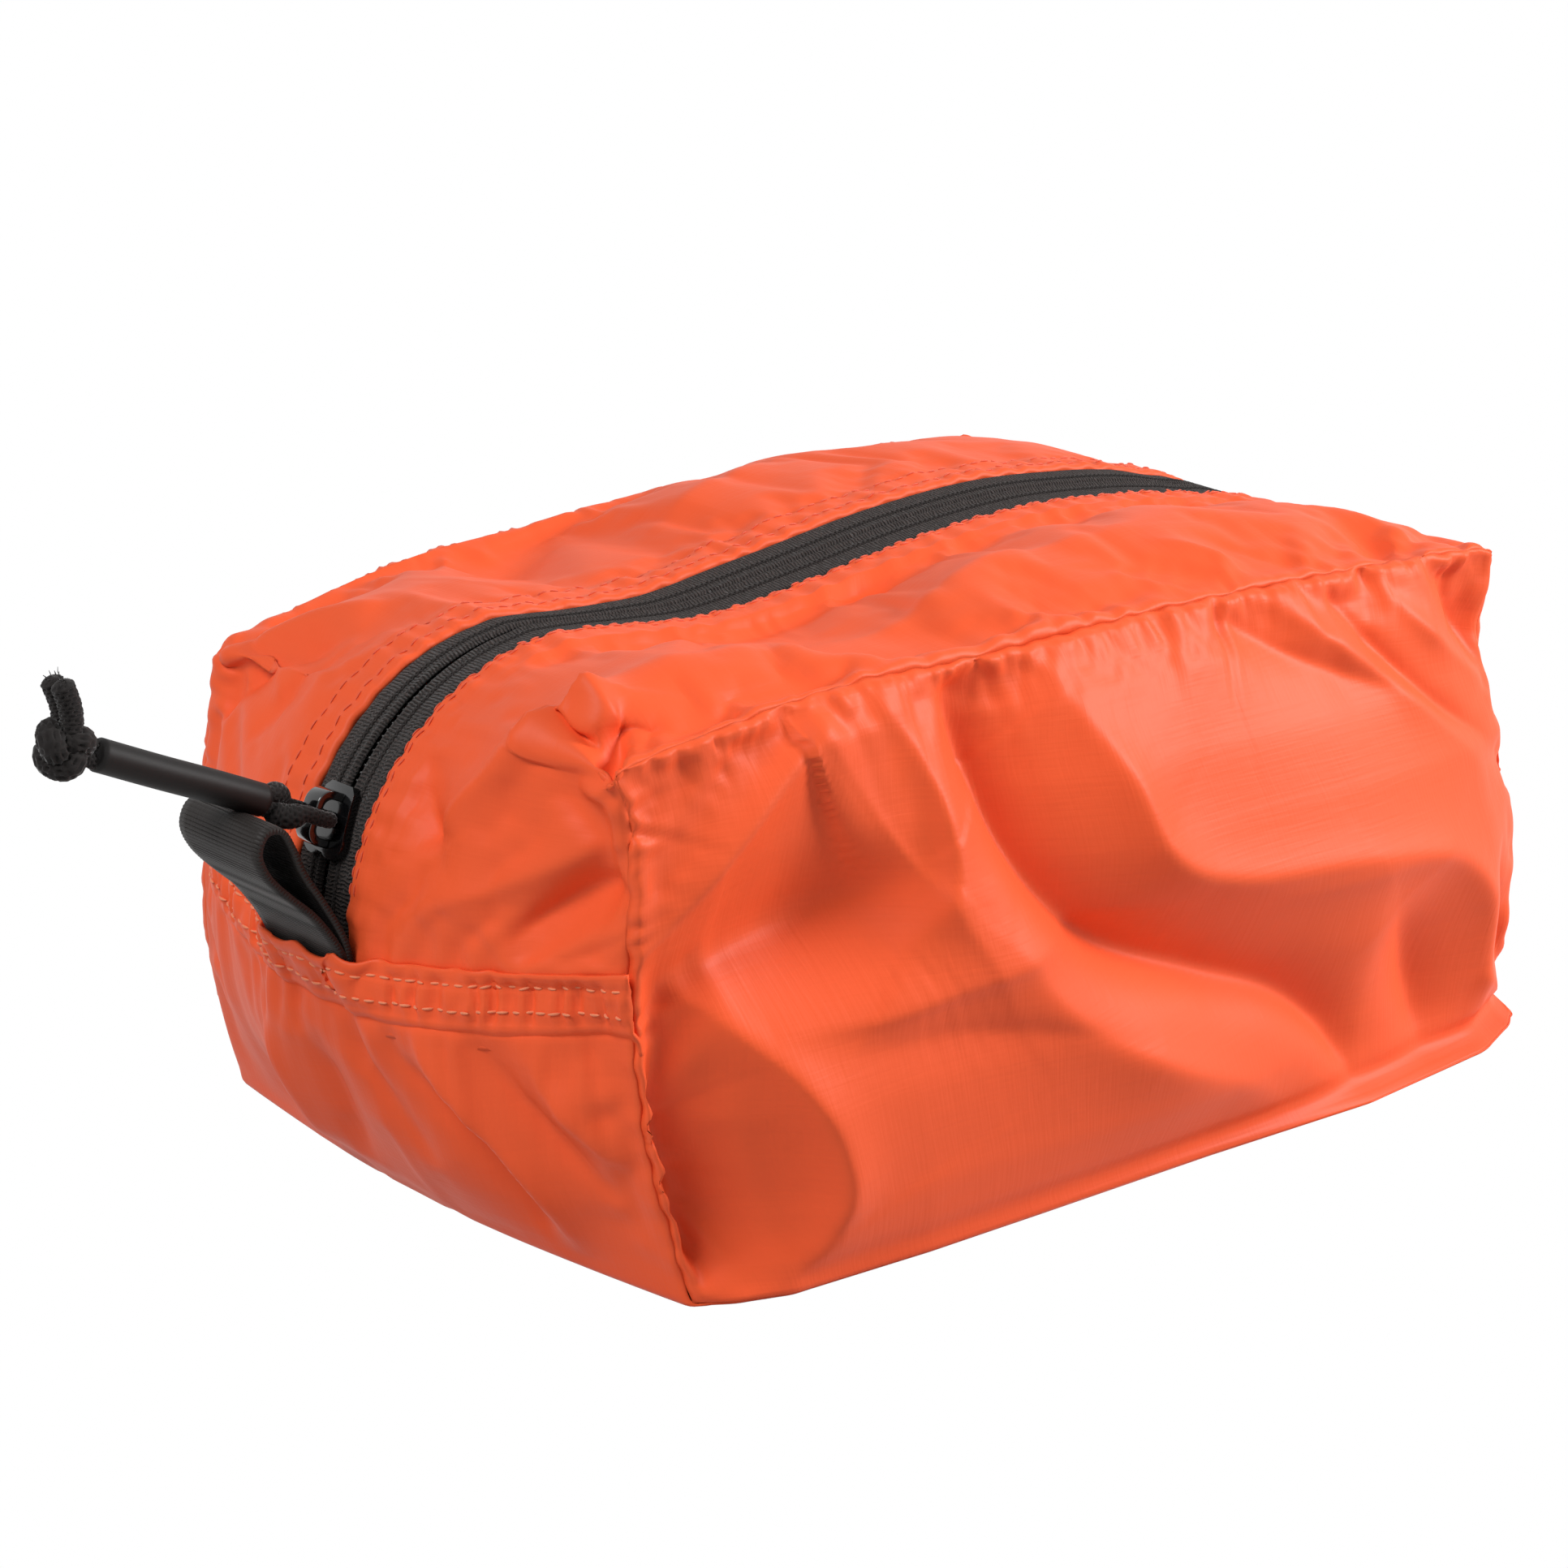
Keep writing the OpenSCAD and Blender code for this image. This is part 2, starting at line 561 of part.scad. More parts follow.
front_panel();
back_panel();
front_zip_gusset();
back_zip_gusset();
bottom_gusset();
left_end_seam();
right_end_seam();
front_zip_tape();
back_zip_tape();
front_zip_coil();
back_zip_coil();
slider_body();
slider_crown();
pull_cord();
pull_sleeve();
pull_knot();
left_tab();
right_tab();
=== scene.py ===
"""A small nylon stuff sack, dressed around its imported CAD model: simulated and folded cloth panels,
sewn end seams, a reverse-coil zip, its slider and cord pull, and a webbing tab at each end."""

import json
import math

import bpy
import numpy as np
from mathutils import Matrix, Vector
from mathutils.bvhtree import BVHTree

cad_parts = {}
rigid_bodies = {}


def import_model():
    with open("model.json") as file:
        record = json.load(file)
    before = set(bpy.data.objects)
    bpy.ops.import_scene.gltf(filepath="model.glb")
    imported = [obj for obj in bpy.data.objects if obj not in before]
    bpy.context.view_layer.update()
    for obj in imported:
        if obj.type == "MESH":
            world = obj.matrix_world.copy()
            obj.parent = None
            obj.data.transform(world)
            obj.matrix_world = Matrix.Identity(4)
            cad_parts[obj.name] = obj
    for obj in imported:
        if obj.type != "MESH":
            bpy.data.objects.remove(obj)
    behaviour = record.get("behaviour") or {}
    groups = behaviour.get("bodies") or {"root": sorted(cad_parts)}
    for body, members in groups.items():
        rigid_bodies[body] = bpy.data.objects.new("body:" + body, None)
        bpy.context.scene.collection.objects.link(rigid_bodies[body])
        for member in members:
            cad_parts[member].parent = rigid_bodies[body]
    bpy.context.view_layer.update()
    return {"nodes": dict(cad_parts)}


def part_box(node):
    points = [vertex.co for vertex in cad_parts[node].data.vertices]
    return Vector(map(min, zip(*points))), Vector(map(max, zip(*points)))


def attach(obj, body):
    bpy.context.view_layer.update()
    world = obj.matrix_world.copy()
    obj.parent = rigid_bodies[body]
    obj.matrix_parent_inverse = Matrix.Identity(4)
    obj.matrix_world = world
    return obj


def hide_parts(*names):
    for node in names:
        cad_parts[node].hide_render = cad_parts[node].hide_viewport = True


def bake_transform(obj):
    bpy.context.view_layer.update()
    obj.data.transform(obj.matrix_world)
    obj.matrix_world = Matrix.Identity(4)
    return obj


bl_info = {
    "name": "Stuff Sack Dresser",
    "version": (1, 0, 0),
    "blender": (4, 5, 0),
    "location": "View3D > Sidebar > Stuff Sack",
    "description": "Cloth, zip, cord and webbing for a small nylon stuff sack",
    "category": "Object",
}

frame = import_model()
MM = 0.001

# CAMERA AND IMAGE POINTS

# The photograph's frame, scaled down, in which the image points are given
IMAGE_W = IMAGE_H = 1568
CAMERA_AZIMUTH = math.radians(-41.5)
CAMERA_ELEVATION = math.radians(17.8)
CAMERA_DISTANCE = 0.610
CAMERA_AIM = Vector((-0.0084, 0.0100, 0.0459))
CAMERA_LENS = 85
CAMERA_SENSOR = 36

# Places in the photograph's frame, scaled to a long side of 1568: x and y of a feature, or one of
# them for an edge of the object, its cord left out
IMAGE_POINTS = {
    "left edge": (180.2, None),
    "right edge": (1511.2, None),
    "top edge": (None, 431.8),
    "bottom edge": (None, 1309.1),
    "front top left corner": (620.9, 775.1),
    "front top right corner": (1489.3, 551.9),
    "front bottom left corner": (691.5, 1303.4),
    "front bottom right corner": (1511.2, 1010.4),
    "back top left corner": (212.6, 649.3),
    "end seam at the front": (629.0, 978.0),
    "end seam upper row": (432.6, 982.0),
    "end seam lower row": (432.6, 1009.9),
    "zip hem inner row": (389.6, 763.7),
    "zip hem outer row": (394.4, 774.2),
    "crown": (320.3, 817.3),
    "sleeve outer end": (91.8, 753.0),
    "sleeve inner end": (263.8, 799.4),
    "knot": (64.0, 748.9),
    "left tab": (265.9, 881.8),
}

# THE SACK'S LINES, in millimetres, as x and z, or x, y and z

SEAM_Y = 57
TURN_X, TURN_Z, TURN_R = -67.5, 46, 40.4
# Share of a zip turn's arc that lies below the height of the side seams' top corner
TURN_SHARE = 0.6
FRONT_LINES = {
    "left_low": [(-85.3, 0), (-88.3, 11), (-92.8, 25), (-94.7, 41), (-95.9, 53.5)],
    "left_high": [(-95.9, 53.5), (-95.7, 65), (-94.8, 74), (-97.5, 82.8)],
    "top": [(-97.5, 82.8), (-83.3, 85), (-53.3, 87.3), (-34.3, 86.4), (10.2, 86.6), (59.8, 85),
            (84, 83.4), (89.8, 82.2)],
    "right_high": [(89.8, 82.2), (89.5, 76), (86.5, 68), (89.5, 58), (92.5, 51)],
    "right_low": [(92.5, 51), (93.5, 44), (96.5, 34), (96, 14), (94.7, 0)],
    "floor": [(94.7, 0), (-85.3, 0)],
}
BACK_LINES = {
    "left_low": [(-86, 0), (-90, 15), (-92, 32), (-91, 51)],
    "left_high": [(-91, 51), (-89.5, 62), (-87.4, 73.8)],
    "top": [(-87.4, 73.8), (-70, 79), (-45, 83.5), (-10, 84.5), (25, 85.5), (55, 86.5),
            (78.2, 84.4)],
    "right_high": [(78.2, 84.4), (84, 75), (88, 62), (90, 51)],
    "right_low": [(90, 51), (92, 35), (91, 15), (88, 0)],
    "floor": [(88, 0), (-86, 0)],
}


def turn_arc(from_share, to_share):
    """Points of the zip's turn at the left end, by their share of the quarter circle."""
    angles = np.radians(np.linspace(180 - 90 * from_share, 180 - 90 * to_share, 7))
    return [(TURN_X + TURN_R * math.cos(a), TURN_Z + TURN_R * math.sin(a)) for a in angles]


def mirrored(points):
    return [(-x, z) for x, z in reversed(points)]


ZIP_TOP = [(-50, 84.9), (-38, 84.6), (-18, 86.9), (6, 90), (30, 91.2), (51, 89.7), (64, 87.9)]
ZIP_LINES = {
    "left_low": [(-91, 0), (-98.5, 10), (-104.5, 25), (-107.4, 38), (-107.9, 46)],
    "left_high": turn_arc(0, TURN_SHARE),
    "top": turn_arc(TURN_SHARE, 1) + ZIP_TOP + mirrored(turn_arc(TURN_SHARE, 0.93)),
    "right_high": mirrored(turn_arc(0, TURN_SHARE)),
    "right_low": mirrored([(-91, 0), (-98.5, 10), (-104.5, 25), (-107.4, 38), (-107.9, 46)]),
    "floor": [(91, 0), (-91, 0)],
}
# Segments of each stretch of the gusset ring, and the stations at its end seams
SEGMENTS = {"left_low": 17, "left_high": 14, "top": 66, "right_high": 14, "right_low": 17,
            "floor": 66}
BAND_LEFT = SEGMENTS["left_low"]
SIDE_SEGMENTS = SEGMENTS["left_low"] + SEGMENTS["left_high"]
BAND_RIGHT = 2 * SIDE_SEGMENTS + SEGMENTS["top"] - SEGMENTS["left_low"]
# Where the gussets end at the zip, out from its middle
ZIP_EDGE = 6.8
# How far the tape's edges lie above and below its middle where the zip leans forwards
ZIP_LEAN = 1.1
# The ring's rows across, from the side seam to the zip's middle and on to the other seam
ROWS = [*np.linspace(SEAM_Y, 14.8, 16), 11.8, 8.8, ZIP_EDGE, 3.4]
Y_ROWS = np.array([-y for y in ROWS] + [0] + ROWS[::-1])


def line_through(points, count):
    """A smooth line through given points, as count + 1 places evenly spaced along it."""
    p = np.array(points, float)
    if len(p) > 2:
        ends = np.vstack([2 * p[0] - p[1], p, 2 * p[-1] - p[-2]])
        t = np.linspace(0, 1, 24, endpoint=False)[:, None]
        spans = [0.5 * (2 * b + (c - a) * t + (2 * a - 5 * b + 4 * c - d) * t**2
                        + (3 * b - a - 3 * c + d) * t**3)
                 for a, b, c, d in zip(ends, ends[1:], ends[2:], ends[3:])]
        p = np.vstack(spans + [p[-1:]])
    along = np.r_[0, np.cumsum(np.linalg.norm(np.diff(p, axis=0), axis=1))]
    at = np.linspace(0, along[-1], count + 1)
    return np.stack([np.interp(at, along, p[:, k]) for k in range(p.shape[1])], 1)


def loop_of(lines):
    """The closed outline of the ring at one y, without its repeated last point."""
    return np.vstack([line_through(lines[name], count)[:-1] for name, count in SEGMENTS.items()])


# How far the floor's long edges bow out past the seams, as x and bow
FRONT_BOW = [(-85.3, 0.8), (-80, 4.5), (-72, 7.8), (-47, 10.5), (-24, 12), (10, 14), (45, 17),
             (77, 15), (90, 10), (94.7, 6.3)]
BACK_BOW = [(-86, 0), (-60, 6), (0, 9), (60, 7), (88, 0)]


def floor_bow(ring_x, ring_z, points):
    """The bow of the floor's long edge beside each point of the ring, and none above the floor."""
    x, bow = zip(*points)
    return np.interp(ring_x, x, bow) * np.clip(1 - ring_z / 3, 0, 1)


def cloth_grids():
    """The sack's starting form: the gusset ring, stations by rows, and the two side panels."""
    front, middle, back = loop_of(FRONT_LINES), loop_of(ZIP_LINES), loop_of(BACK_LINES)
    ring = np.zeros((len(front), len(Y_ROWS), 3))
    for j, y in enumerate(Y_ROWS):
        away = np.clip((abs(y) - 8) / (SEAM_Y - 8), 0, 1) ** 1.35
        xz = middle * (1 - away) + (front if y < 0 else back) * away
        bow = floor_bow(xz[:, 0], xz[:, 1], FRONT_BOW if y < 0 else BACK_BOW) * away * np.sign(y)
        ring[:, j] = np.stack([xz[:, 0], y + bow, xz[:, 1]], 1)
    panels = [side_panel(ring[:, j], side) for j, side in ((0, -1), (len(Y_ROWS) - 1, 1))]
    return ring, *panels


# How far the filling presses a side panel out, and its share of that by height
PANEL_SWELL = 7.5
SWELL_HEIGHTS = (0, 0.05, 0.12, 0.3, 0.5, 0.7, 0.87, 1)
SWELL_SHARES = (0, 0.4, 0.72, 1, 0.97, 0.76, 0.4, 0)


def side_panel(loop, side):
    """A panel stretched between the four stretches of its seam loop, bulging to its side."""
    nz, nx = SIDE_SEGMENTS, SEGMENTS["top"]
    left, top = loop[:nz + 1], loop[nz:nz + nx + 1]
    right = loop[nz + nx:2 * nz + nx + 1][::-1]
    bottom = np.vstack([loop[2 * nz + nx:], loop[:1]])[::-1]
    s, t = np.linspace(0, 1, nx + 1)[:, None, None], np.linspace(0, 1, nz + 1)[None, :, None]
    corners = ((1 - s) * (1 - t) * loop[0] + s * (1 - t) * bottom[-1]
               + (1 - s) * t * top[0] + s * t * top[-1])
    grid = ((1 - t) * bottom[:, None] + t * top[:, None]
            + (1 - s) * left[None] + s * right[None] - corners)
    across = (1 - np.abs(2 * s[..., 0] - 1) ** 2.6) ** 0.6
    up = np.interp(t[..., 0], SWELL_HEIGHTS, SWELL_SHARES)
    grid[..., 1] += side * PANEL_SWELL * across * up
    return grid


# MESHES

def new_object(name, mesh):
    obj = bpy.data.objects.new(name, mesh)
    bpy.context.scene.collection.objects.link(obj)
    return obj


def mesh_object(name, places, faces, uvs=None, smooth=True):
    """An object with a mesh over places in millimetres. uvs gives each vertex its place on the
    piece's own UV map, in metres."""
    mesh = bpy.data.meshes.new(name)
    mesh.from_pydata((places * MM).tolist(), [], faces)
    if uvs is not None:
        layer = mesh.uv_layers.new(name="lengths")
        corners = np.zeros(len(mesh.loops), int)
        mesh.loops.foreach_get("vertex_index", corners)
        layer.data.foreach_set("uv", uvs[corners].ravel())
    if smooth:
        mesh.shade_smooth()
    return new_object(name, mesh)


def grid_mesh(name, grid, outward=True):
    """A sheet of four-sided faces over a grid of points in millimetres, with its lengths as UVs."""
    rows, cols = grid.shape[:2]
    index = np.arange(rows * cols).reshape(rows, cols)
    faces = np.stack([index[:-1, :-1], index[1:, :-1], index[1:, 1:], index[:-1, 1:]], -1)
    faces = faces.reshape(-1, 4)
    if not outward:
        faces = faces[:, ::-1]
    steps_u = np.linalg.norm(np.diff(grid, axis=0), axis=2).mean(1)
    steps_v = np.linalg.norm(np.diff(grid, axis=1), axis=2).mean(0)
    u, v = np.r_[0, np.cumsum(steps_u)] * MM, np.r_[0, np.cumsum(steps_v)] * MM
    uvs = np.stack(np.meshgrid(u, v, indexing="ij"), -1).reshape(-1, 2)
    return mesh_object(name, grid.reshape(-1, 3), faces.tolist(), uvs)


def refined(grid, factor, across=None):
    """The grid with factor times as many steps along it, and across times as many the other way,
    on smooth curves through its points."""
    for axis, factor in ((0, factor), (1, across or factor)):
        g = np.moveaxis(grid, axis, 0)
        ends = np.concatenate([2 * g[:1] - g[1:2], g, 2 * g[-1:] - g[-2:-1]])
        a, b, c, d = ends[:-3], ends[1:-2], ends[2:-1], ends[3:]
        spans = []
        for t in np.arange(factor) / factor:
            spans.append(0.5 * (2 * b + (c - a) * t + (2 * a - 5 * b + 4 * c - d) * t**2
                                + (3 * b - a - 3 * c + d) * t**3))
        fine = np.stack(spans, 1).reshape(-1, *g.shape[1:])
        grid = np.moveaxis(np.concatenate([fine, g[-1:]]), 0, axis)
    return grid


def normals_of(grid):
    du, dv = np.gradient(grid, axis=0), np.gradient(grid, axis=1)
    n = np.cross(du, dv)
    return n / np.maximum(np.linalg.norm(n, axis=2, keepdims=True), 1e-9)


# FOLDS

def hump(x, width):
    return np.exp(-(x / width) ** 2)


def rise(x, at, soft):
    """A smooth step from 0 to 1 where x passes a value."""
    return 1 / (1 + np.exp((at - x) / soft))


# Each fold is a line pressed into the cloth: its widths to the left and to the right of the line,
# seen along it, then its points as two coordinates in the cloth's plane and the height there
FRONT_FOLDS = [
    # The dent in the upper left corner, and the sharp ridge on its right
    (18, 13, [(-93, 48, -5), (-80, 52, -10), (-67, 54, -13), (-57, 56, -10), (-50, 60, -3)]),
    (7, 5, [(-57, 87, 2), (-66, 80, 4), (-78, 70, 4.5), (-93, 56, 2)]),
    (10, 4, [(-53, 85, 0), (-48, 78, 3), (-45, 67, 4.5), (-46, 57, 3.5), (-54, 48, 1)]),
    # The long valley from the seam down to the right, between two ridges
    (11, 5.5, [(-36, 85, -3), (-33, 70, -9), (-27, 54, -10), (-14, 41, -10), (8, 31, -9),
               (25, 24, -8), (37, 15, -7), (46, 2, -5)]),
    (8, 12, [(-38, 48, 1), (-24, 32, 4), (-4, 20, 5), (14, 12, 3), (26, 4, 1)]),
    (8, 8, [(-20, 85, 0), (-11, 68, 4), (-5, 54, 5), (10, 47, 5), (38, 44, 4), (62, 39, 4),
            (76, 27, 4), (79, 8, 2)]),
    (12, 10, [(50, 33, -1), (57, 24, -5), (62, 12, -6), (64, 0, -3)]),
    # The lower left corner: it turns away under a ridge, with a small one inside
    (14, 4, [(-95, 44, -2), (-91, 32, -8), (-87, 18, -12), (-84, 6, -12), (-82, 0, -6)]),
    (10, 3.5, [(-88, 50, 0), (-80, 41, 3), (-74, 34, 5), (-69, 25, 6), (-66.5, 15, 6), (-69, 6, 4),
               (-76, 0, 1)]),
    (2.2, 2.2, [(-94, 30, 0), (-88, 20, 2.4), (-82, 10, 2.4), (-78, 3, 0)]),
    # Packing creases across the middle
    (14, 3, [(-76, 41, 0), (-58, 41, 2.4), (-36, 44, 2.2), (-14, 46, 1.2), (4, 45, 0)]),
    (3, 9, [(-66, 36, 0), (-44, 35, -1.6), (-22, 30, -1.2), (-8, 24, 0)]),
    (3, 5, [(12, 42, 0), (34, 41, 0.9), (64, 40, 0.2)]),
    # The lower right corner: creases that fan out from it
    (3, 4, [(82, 36, 0), (85, 22, -3), (94, 4, -2)]),
    (3, 2.5, [(76, 14, 0), (86, 8, 2.5), (98, 0, 1.5)]),
    (3, 3, [(90, 30, 0), (92, 16, 2), (97, 3, 1)]),
    # Folds that hang from the seam on the upper right
    (3.5, 5, [(18, 85, -0.5), (30, 77, -2.2), (48, 69, -1.5), (60, 66, 0)]),
    (4, 4, [(32, 84, 0.5), (44, 75, 2.5), (58, 65, 2.5), (74, 52, 0.5)]),
    (2.6, 3, [(44, 85, -1), (53, 74, -3), (66, 62, -2.6), (82, 52, -0.5)]),
    (4, 4, [(56, 84, 0.5), (66, 74, 2.5), (82, 62, 1)]),
    (5, 4, [(74, 84, -1), (79, 74, -4), (85, 64, -2)]),
]


# Folds of the front zip gusset: length along it from the left end seam, distance from the side
# seam, and height
FRONT_TOP_FOLDS = [
    # The roll of cloth that leans over the side seam, from the corner to where it meets the seam
    (10, 13, [(30, 29, 0), (45, 21, 2.5), (63.5, 19, 3.5), (79, 16, 3), (90, 4, 0.5)]),
    (4, 4, [(50, 3, -1), (64, 5, -1.4), (82, 5, -1)]),
    # The peaked fold beside the corner, and the pinch under it
    (4, 5, [(20.8, 36.5, 0), (24.7, 32.8, 3), (32.8, 24.9, 4), (39.5, 19.8, 4), (46, 16.9, 4.5)]),
    (2.2, 2.2, [(46, 16, 3), (42, 12, 2.5), (38.5, 8.5, 0.5)]),
    (2.2, 2.4, [(44.5, 11, -1.5), (40.5, 8, -3.5), (37.6, 4.5, -2.5)]),
    (5, 5, [(32, 45, 0), (26.6, 42.3, -2.4), (21.5, 38, -3.4), (18, 36, 0)]),
    # Creases that run from the side seam down to the end seam
    (6, 4, [(5, 47, 0), (11.7, 33.6, 1.6), (14.9, 23.4, 2.2), (19.5, 13.2, 2), (25, 5, 0)]),
    (5, 5, [(6, 22, 0), (10, 16.5, -3), (15, 9.5, -3.6), (20, 2.5, -1.2)]),
    (3.5, 4, [(1, 20, 0), (5, 14, 1.2), (9, 7, 1.4), (13, 2, 0)]),
    # Dips and ridges along the top, and the low strip beside the zip's hem
    (6, 5, [(46, 42, 0), (62, 43, -1.4), (120, 42, -1.6), (196, 42, -1.6), (214, 42, 0)]),
    (2.5, 3, [(57, 37, 0), (66, 40, -1.6), (78, 43, -1.6), (86, 42, 0)]),
    (7, 6, [(100, 50, 0), (112, 49, -2.6), (121, 44, -2), (128, 36, 0)]),
    (6, 9, [(84, 27, 0), (108, 22, 1.8), (134, 26, 2), (160, 24, 0.5)]),
    (6, 6, [(136, 18, -0.5), (150, 13, -2.2), (160, 8, -1.4)]),
    (3, 3, [(158, 20, 0), (165, 11, 1.4), (168, 3, 0.5)]),
    (1.5, 1.5, [(169, 20, 0), (177, 10, -0.8), (184, 3, -0.6)]),
    (5, 5, [(203, 2, -1), (206, 11, -2), (205, 20, 0)]),
    (4, 4, [(214, 2, 0.5), (213, 12, 1.6), (211, 24, 0.5)]),
]
# Folds of the back zip gusset, in the same terms
BACK_TOP_FOLDS = [
    (5, 5, [(22, 8, 0), (30, 13, -2.6), (38, 22, -2.8), (46, 32, -1)]),
    (5, 6, [(30, 2, 0.5), (38, 9, 2.4), (47, 20, 2.6), (56, 32, 0.5)]),
    (4, 4, [(20, 24, 0), (29, 29, -1.6), (39, 33, -1.6), (49, 38, 0)]),
    (8, 8, [(66, 22, 0), (82, 18, -2.4), (98, 12, -1.5)]),
    (8, 8, [(100, 30, 0), (124, 24, 2), (150, 16, 1)]),
    (6, 8, [(168, 6, -1), (182, 16, -2.2), (192, 30, 0)]),
]
# Folds of the bottom gusset below the left end seam: distance down from the seam's upper edge,
# distance from the front side seam, and height
LEFT_END_FOLDS = [
    (3.6, 4.8, [(9, 45, 0), (17, 39.6, 2.7), (25.5, 32, 3), (36, 25.4, 2.7), (52, 24, 0)]),
    (4.8, 4.8, [(12, 52, 0), (20, 45, -2.4), (29, 37, -3), (40, 31, -2.1), (50, 30, 0)]),
    (3.6, 3.6, [(9, 23, 0), (17.5, 17.6, 2.2), (23, 11.9, 2.2), (30, 5, 0)]),
    (3.6, 4.8, [(10, 32, 0), (18, 26, -2.1), (28, 17, -2.4), (36, 9, 0)]),
    (4.8, 4.8, [(12, 60, 0), (20, 57, -2.4), (30, 52, -1.5), (36, 48, 0)]),
    (6, 6, [(14, 74, 0), (24, 70, -2.7), (36, 70, -2.2), (44, 72, 0)]),
    (6, 6, [(12, 90, 0), (24, 84, 2.4), (38, 82, 2.1), (46, 84, 0)]),
    (6, 6, [(30, 96, 0), (40, 98, -2.4), (48, 104, -0.8)]),
]
BACK_FOLDS = [
    (11, 11, [(-72, 64, 0), (-48, 54, -4), (-18, 45, -3), (10, 16, 0)]),
    (9, 11, [(-50, 82, 0), (-20, 66, 3), (12, 56, 4), (44, 26, 0)]),
    (10, 10, [(82, 64, 0), (66, 50, -4), (56, 36, -4), (66, 10, 0)]),
    (4, 4, [(-30, 84, 0), (-24, 72, -2), (-10, 62, -1.5), (0, 58, 0)]),
    (4, 5, [(28, 84, 0), (34, 70, 2.4), (48, 58, 2), (60, 50, 0)]),
    (5, 5, [(-84, 30, 0), (-76, 22, -3), (-70, 8, -1)]),
    (5, 4, [(-80, 42, 0), (-66, 28, 2.4), (-56, 10, 0.5)]),
]


# How rounded a crease's edge is, as a share of the fold's width and in millimetres at least
CREASE_SOFTNESS = 0.15
SHARPEST_CREASE = 0.7


def distance_to_line(points, line):
    """Signed distance of 2-D points from a line of (a, b, height), and the height beside each."""
    best = np.full(points.shape[:-1], 1e9)
    signed, height = np.zeros_like(best), np.zeros_like(best)
    smooth = line_through(line, 6 * len(line))
    for p, q in zip(smooth, smooth[1:]):
        run = q[:2] - p[:2]
        t = np.clip(((points - p[:2]) @ run) / max(run @ run, 1e-9), 0, 1)
        off = points - p[:2] - t[..., None] * run
        d = np.hypot(off[..., 0], off[..., 1])
        near = d < best
        side = np.sign(run[0] * off[..., 1] - run[1] * off[..., 0])
        best = np.where(near, d, best)
        signed = np.where(near, d * np.where(side == 0, 1, side), signed)
        height = np.where(near, p[2] + t * (q[2] - p[2]), height)
    return signed, height


def fold_heights(points, folds):
    """The height that all the folds together give each point: a crease along each fold's line, with
    its sides falling away almost flat."""
    total = np.zeros(points.shape[:-1])
    for width_left, width_right, line in folds:
        d, height = distance_to_line(points, line)
        width = np.where(d > 0, width_left, width_right)
        soft = np.maximum(CREASE_SOFTNESS * width, SHARPEST_CREASE)
        total += height * np.exp(-1.25 * (np.sqrt(d**2 + soft**2) - soft) / width)
    return total


def folded_panel(grid, folds, side):
    """A side panel with its folds pressed in; they die away at its seams."""
    u, v = lengths_along(grid, 0), lengths_along(grid, 1)
    edge = np.minimum(np.minimum(u, u.max() - u), v.max() - v)
    heights = fold_heights(grid[..., [0, 2]], folds) * (1 - hump(edge, 3.5)) * (1 - hump(v, 9))
    moved = grid.copy()
    moved[..., 1] += side * heights
    return moved


# Rounds of smoothing that take the small bumps out of a panel's middle
CALMING_PASSES = 30


def calmed(moved, start):
    """A simulated panel with the small bumps of its middle smoothed out, and its gathered edges as
    they are."""
    shift = moved - start
    smooth = shift.copy()
    for _ in range(CALMING_PASSES):
        smooth[1:-1, 1:-1] = (smooth[:-2, 1:-1] + smooth[2:, 1:-1]
                              + smooth[1:-1, :-2] + smooth[1:-1, 2:]) / 4
    i, j = np.indices(shift.shape[:2])
    edge = np.minimum(np.minimum(i, len(shift) - 1 - i), shift.shape[1] - 1 - j)
    return start + smooth + (shift - smooth) * hump(edge, 4)[..., None]


def leaned(points):
    """Points of the top, tilted a little towards the front beside the zip, as the full sack holds
    it."""
    x, y, z = np.moveaxis(points, -1, 0)
    along = np.clip((x + 58) / 30, 0, 1) * np.clip((88 - x) / 25, 0, 1)
    drop = ZIP_LEAN * np.clip(y / ZIP_EDGE, -1, 1)
    drop *= np.clip(1 - (np.abs(y) - ZIP_EDGE) / 45, 0, 1)
    return np.stack([x, y, z + along * np.where(z > 60, drop, 0)], -1)


def closed_form(ring, front, back):
    """One closed mesh of the ring and the two side panels, and where each grid's points lie in
    it."""
    count, rows = ring.shape[:2]
    ring_at = np.arange(count * rows).reshape(count, rows)
    places, taken = [ring.reshape(-1, 3)], count * rows
    panels_at = []
    nz, nx = SIDE_SEGMENTS, SEGMENTS["top"]
    for panel, j in ((front, 0), (back, rows - 1)):
        loop = np.r_[ring_at[:, j], ring_at[0, j]]
        at = np.zeros((nx + 1, nz + 1), int)
        at[1:-1, 1:-1] = taken + np.arange((nx - 1) * (nz - 1)).reshape(nx - 1, nz - 1)
        at[0], at[:, -1] = loop[:nz + 1], loop[nz:nz + nx + 1]
        at[-1], at[:, 0] = loop[nz + nx:2 * nz + nx + 1][::-1], loop[2 * nz + nx:][::-1]
        places.append(panel[1:-1, 1:-1].reshape(-1, 3))
        taken += (nx - 1) * (nz - 1)
        panels_at.append(at)
    closed = np.vstack([ring_at, ring_at[:1]])
    faces = [quads(closed)[:, ::-1], quads(panels_at[0])[:, ::-1], quads(panels_at[1])]
    form = mesh_object("cloth form", np.vstack(places), np.vstack(faces).tolist(), smooth=False)
    return form, ring_at, *panels_at


def quads(index):
    corners = [index[:-1, :-1], index[:-1, 1:], index[1:, 1:], index[1:, :-1]]
    return np.stack(corners, -1).reshape(-1, 4)


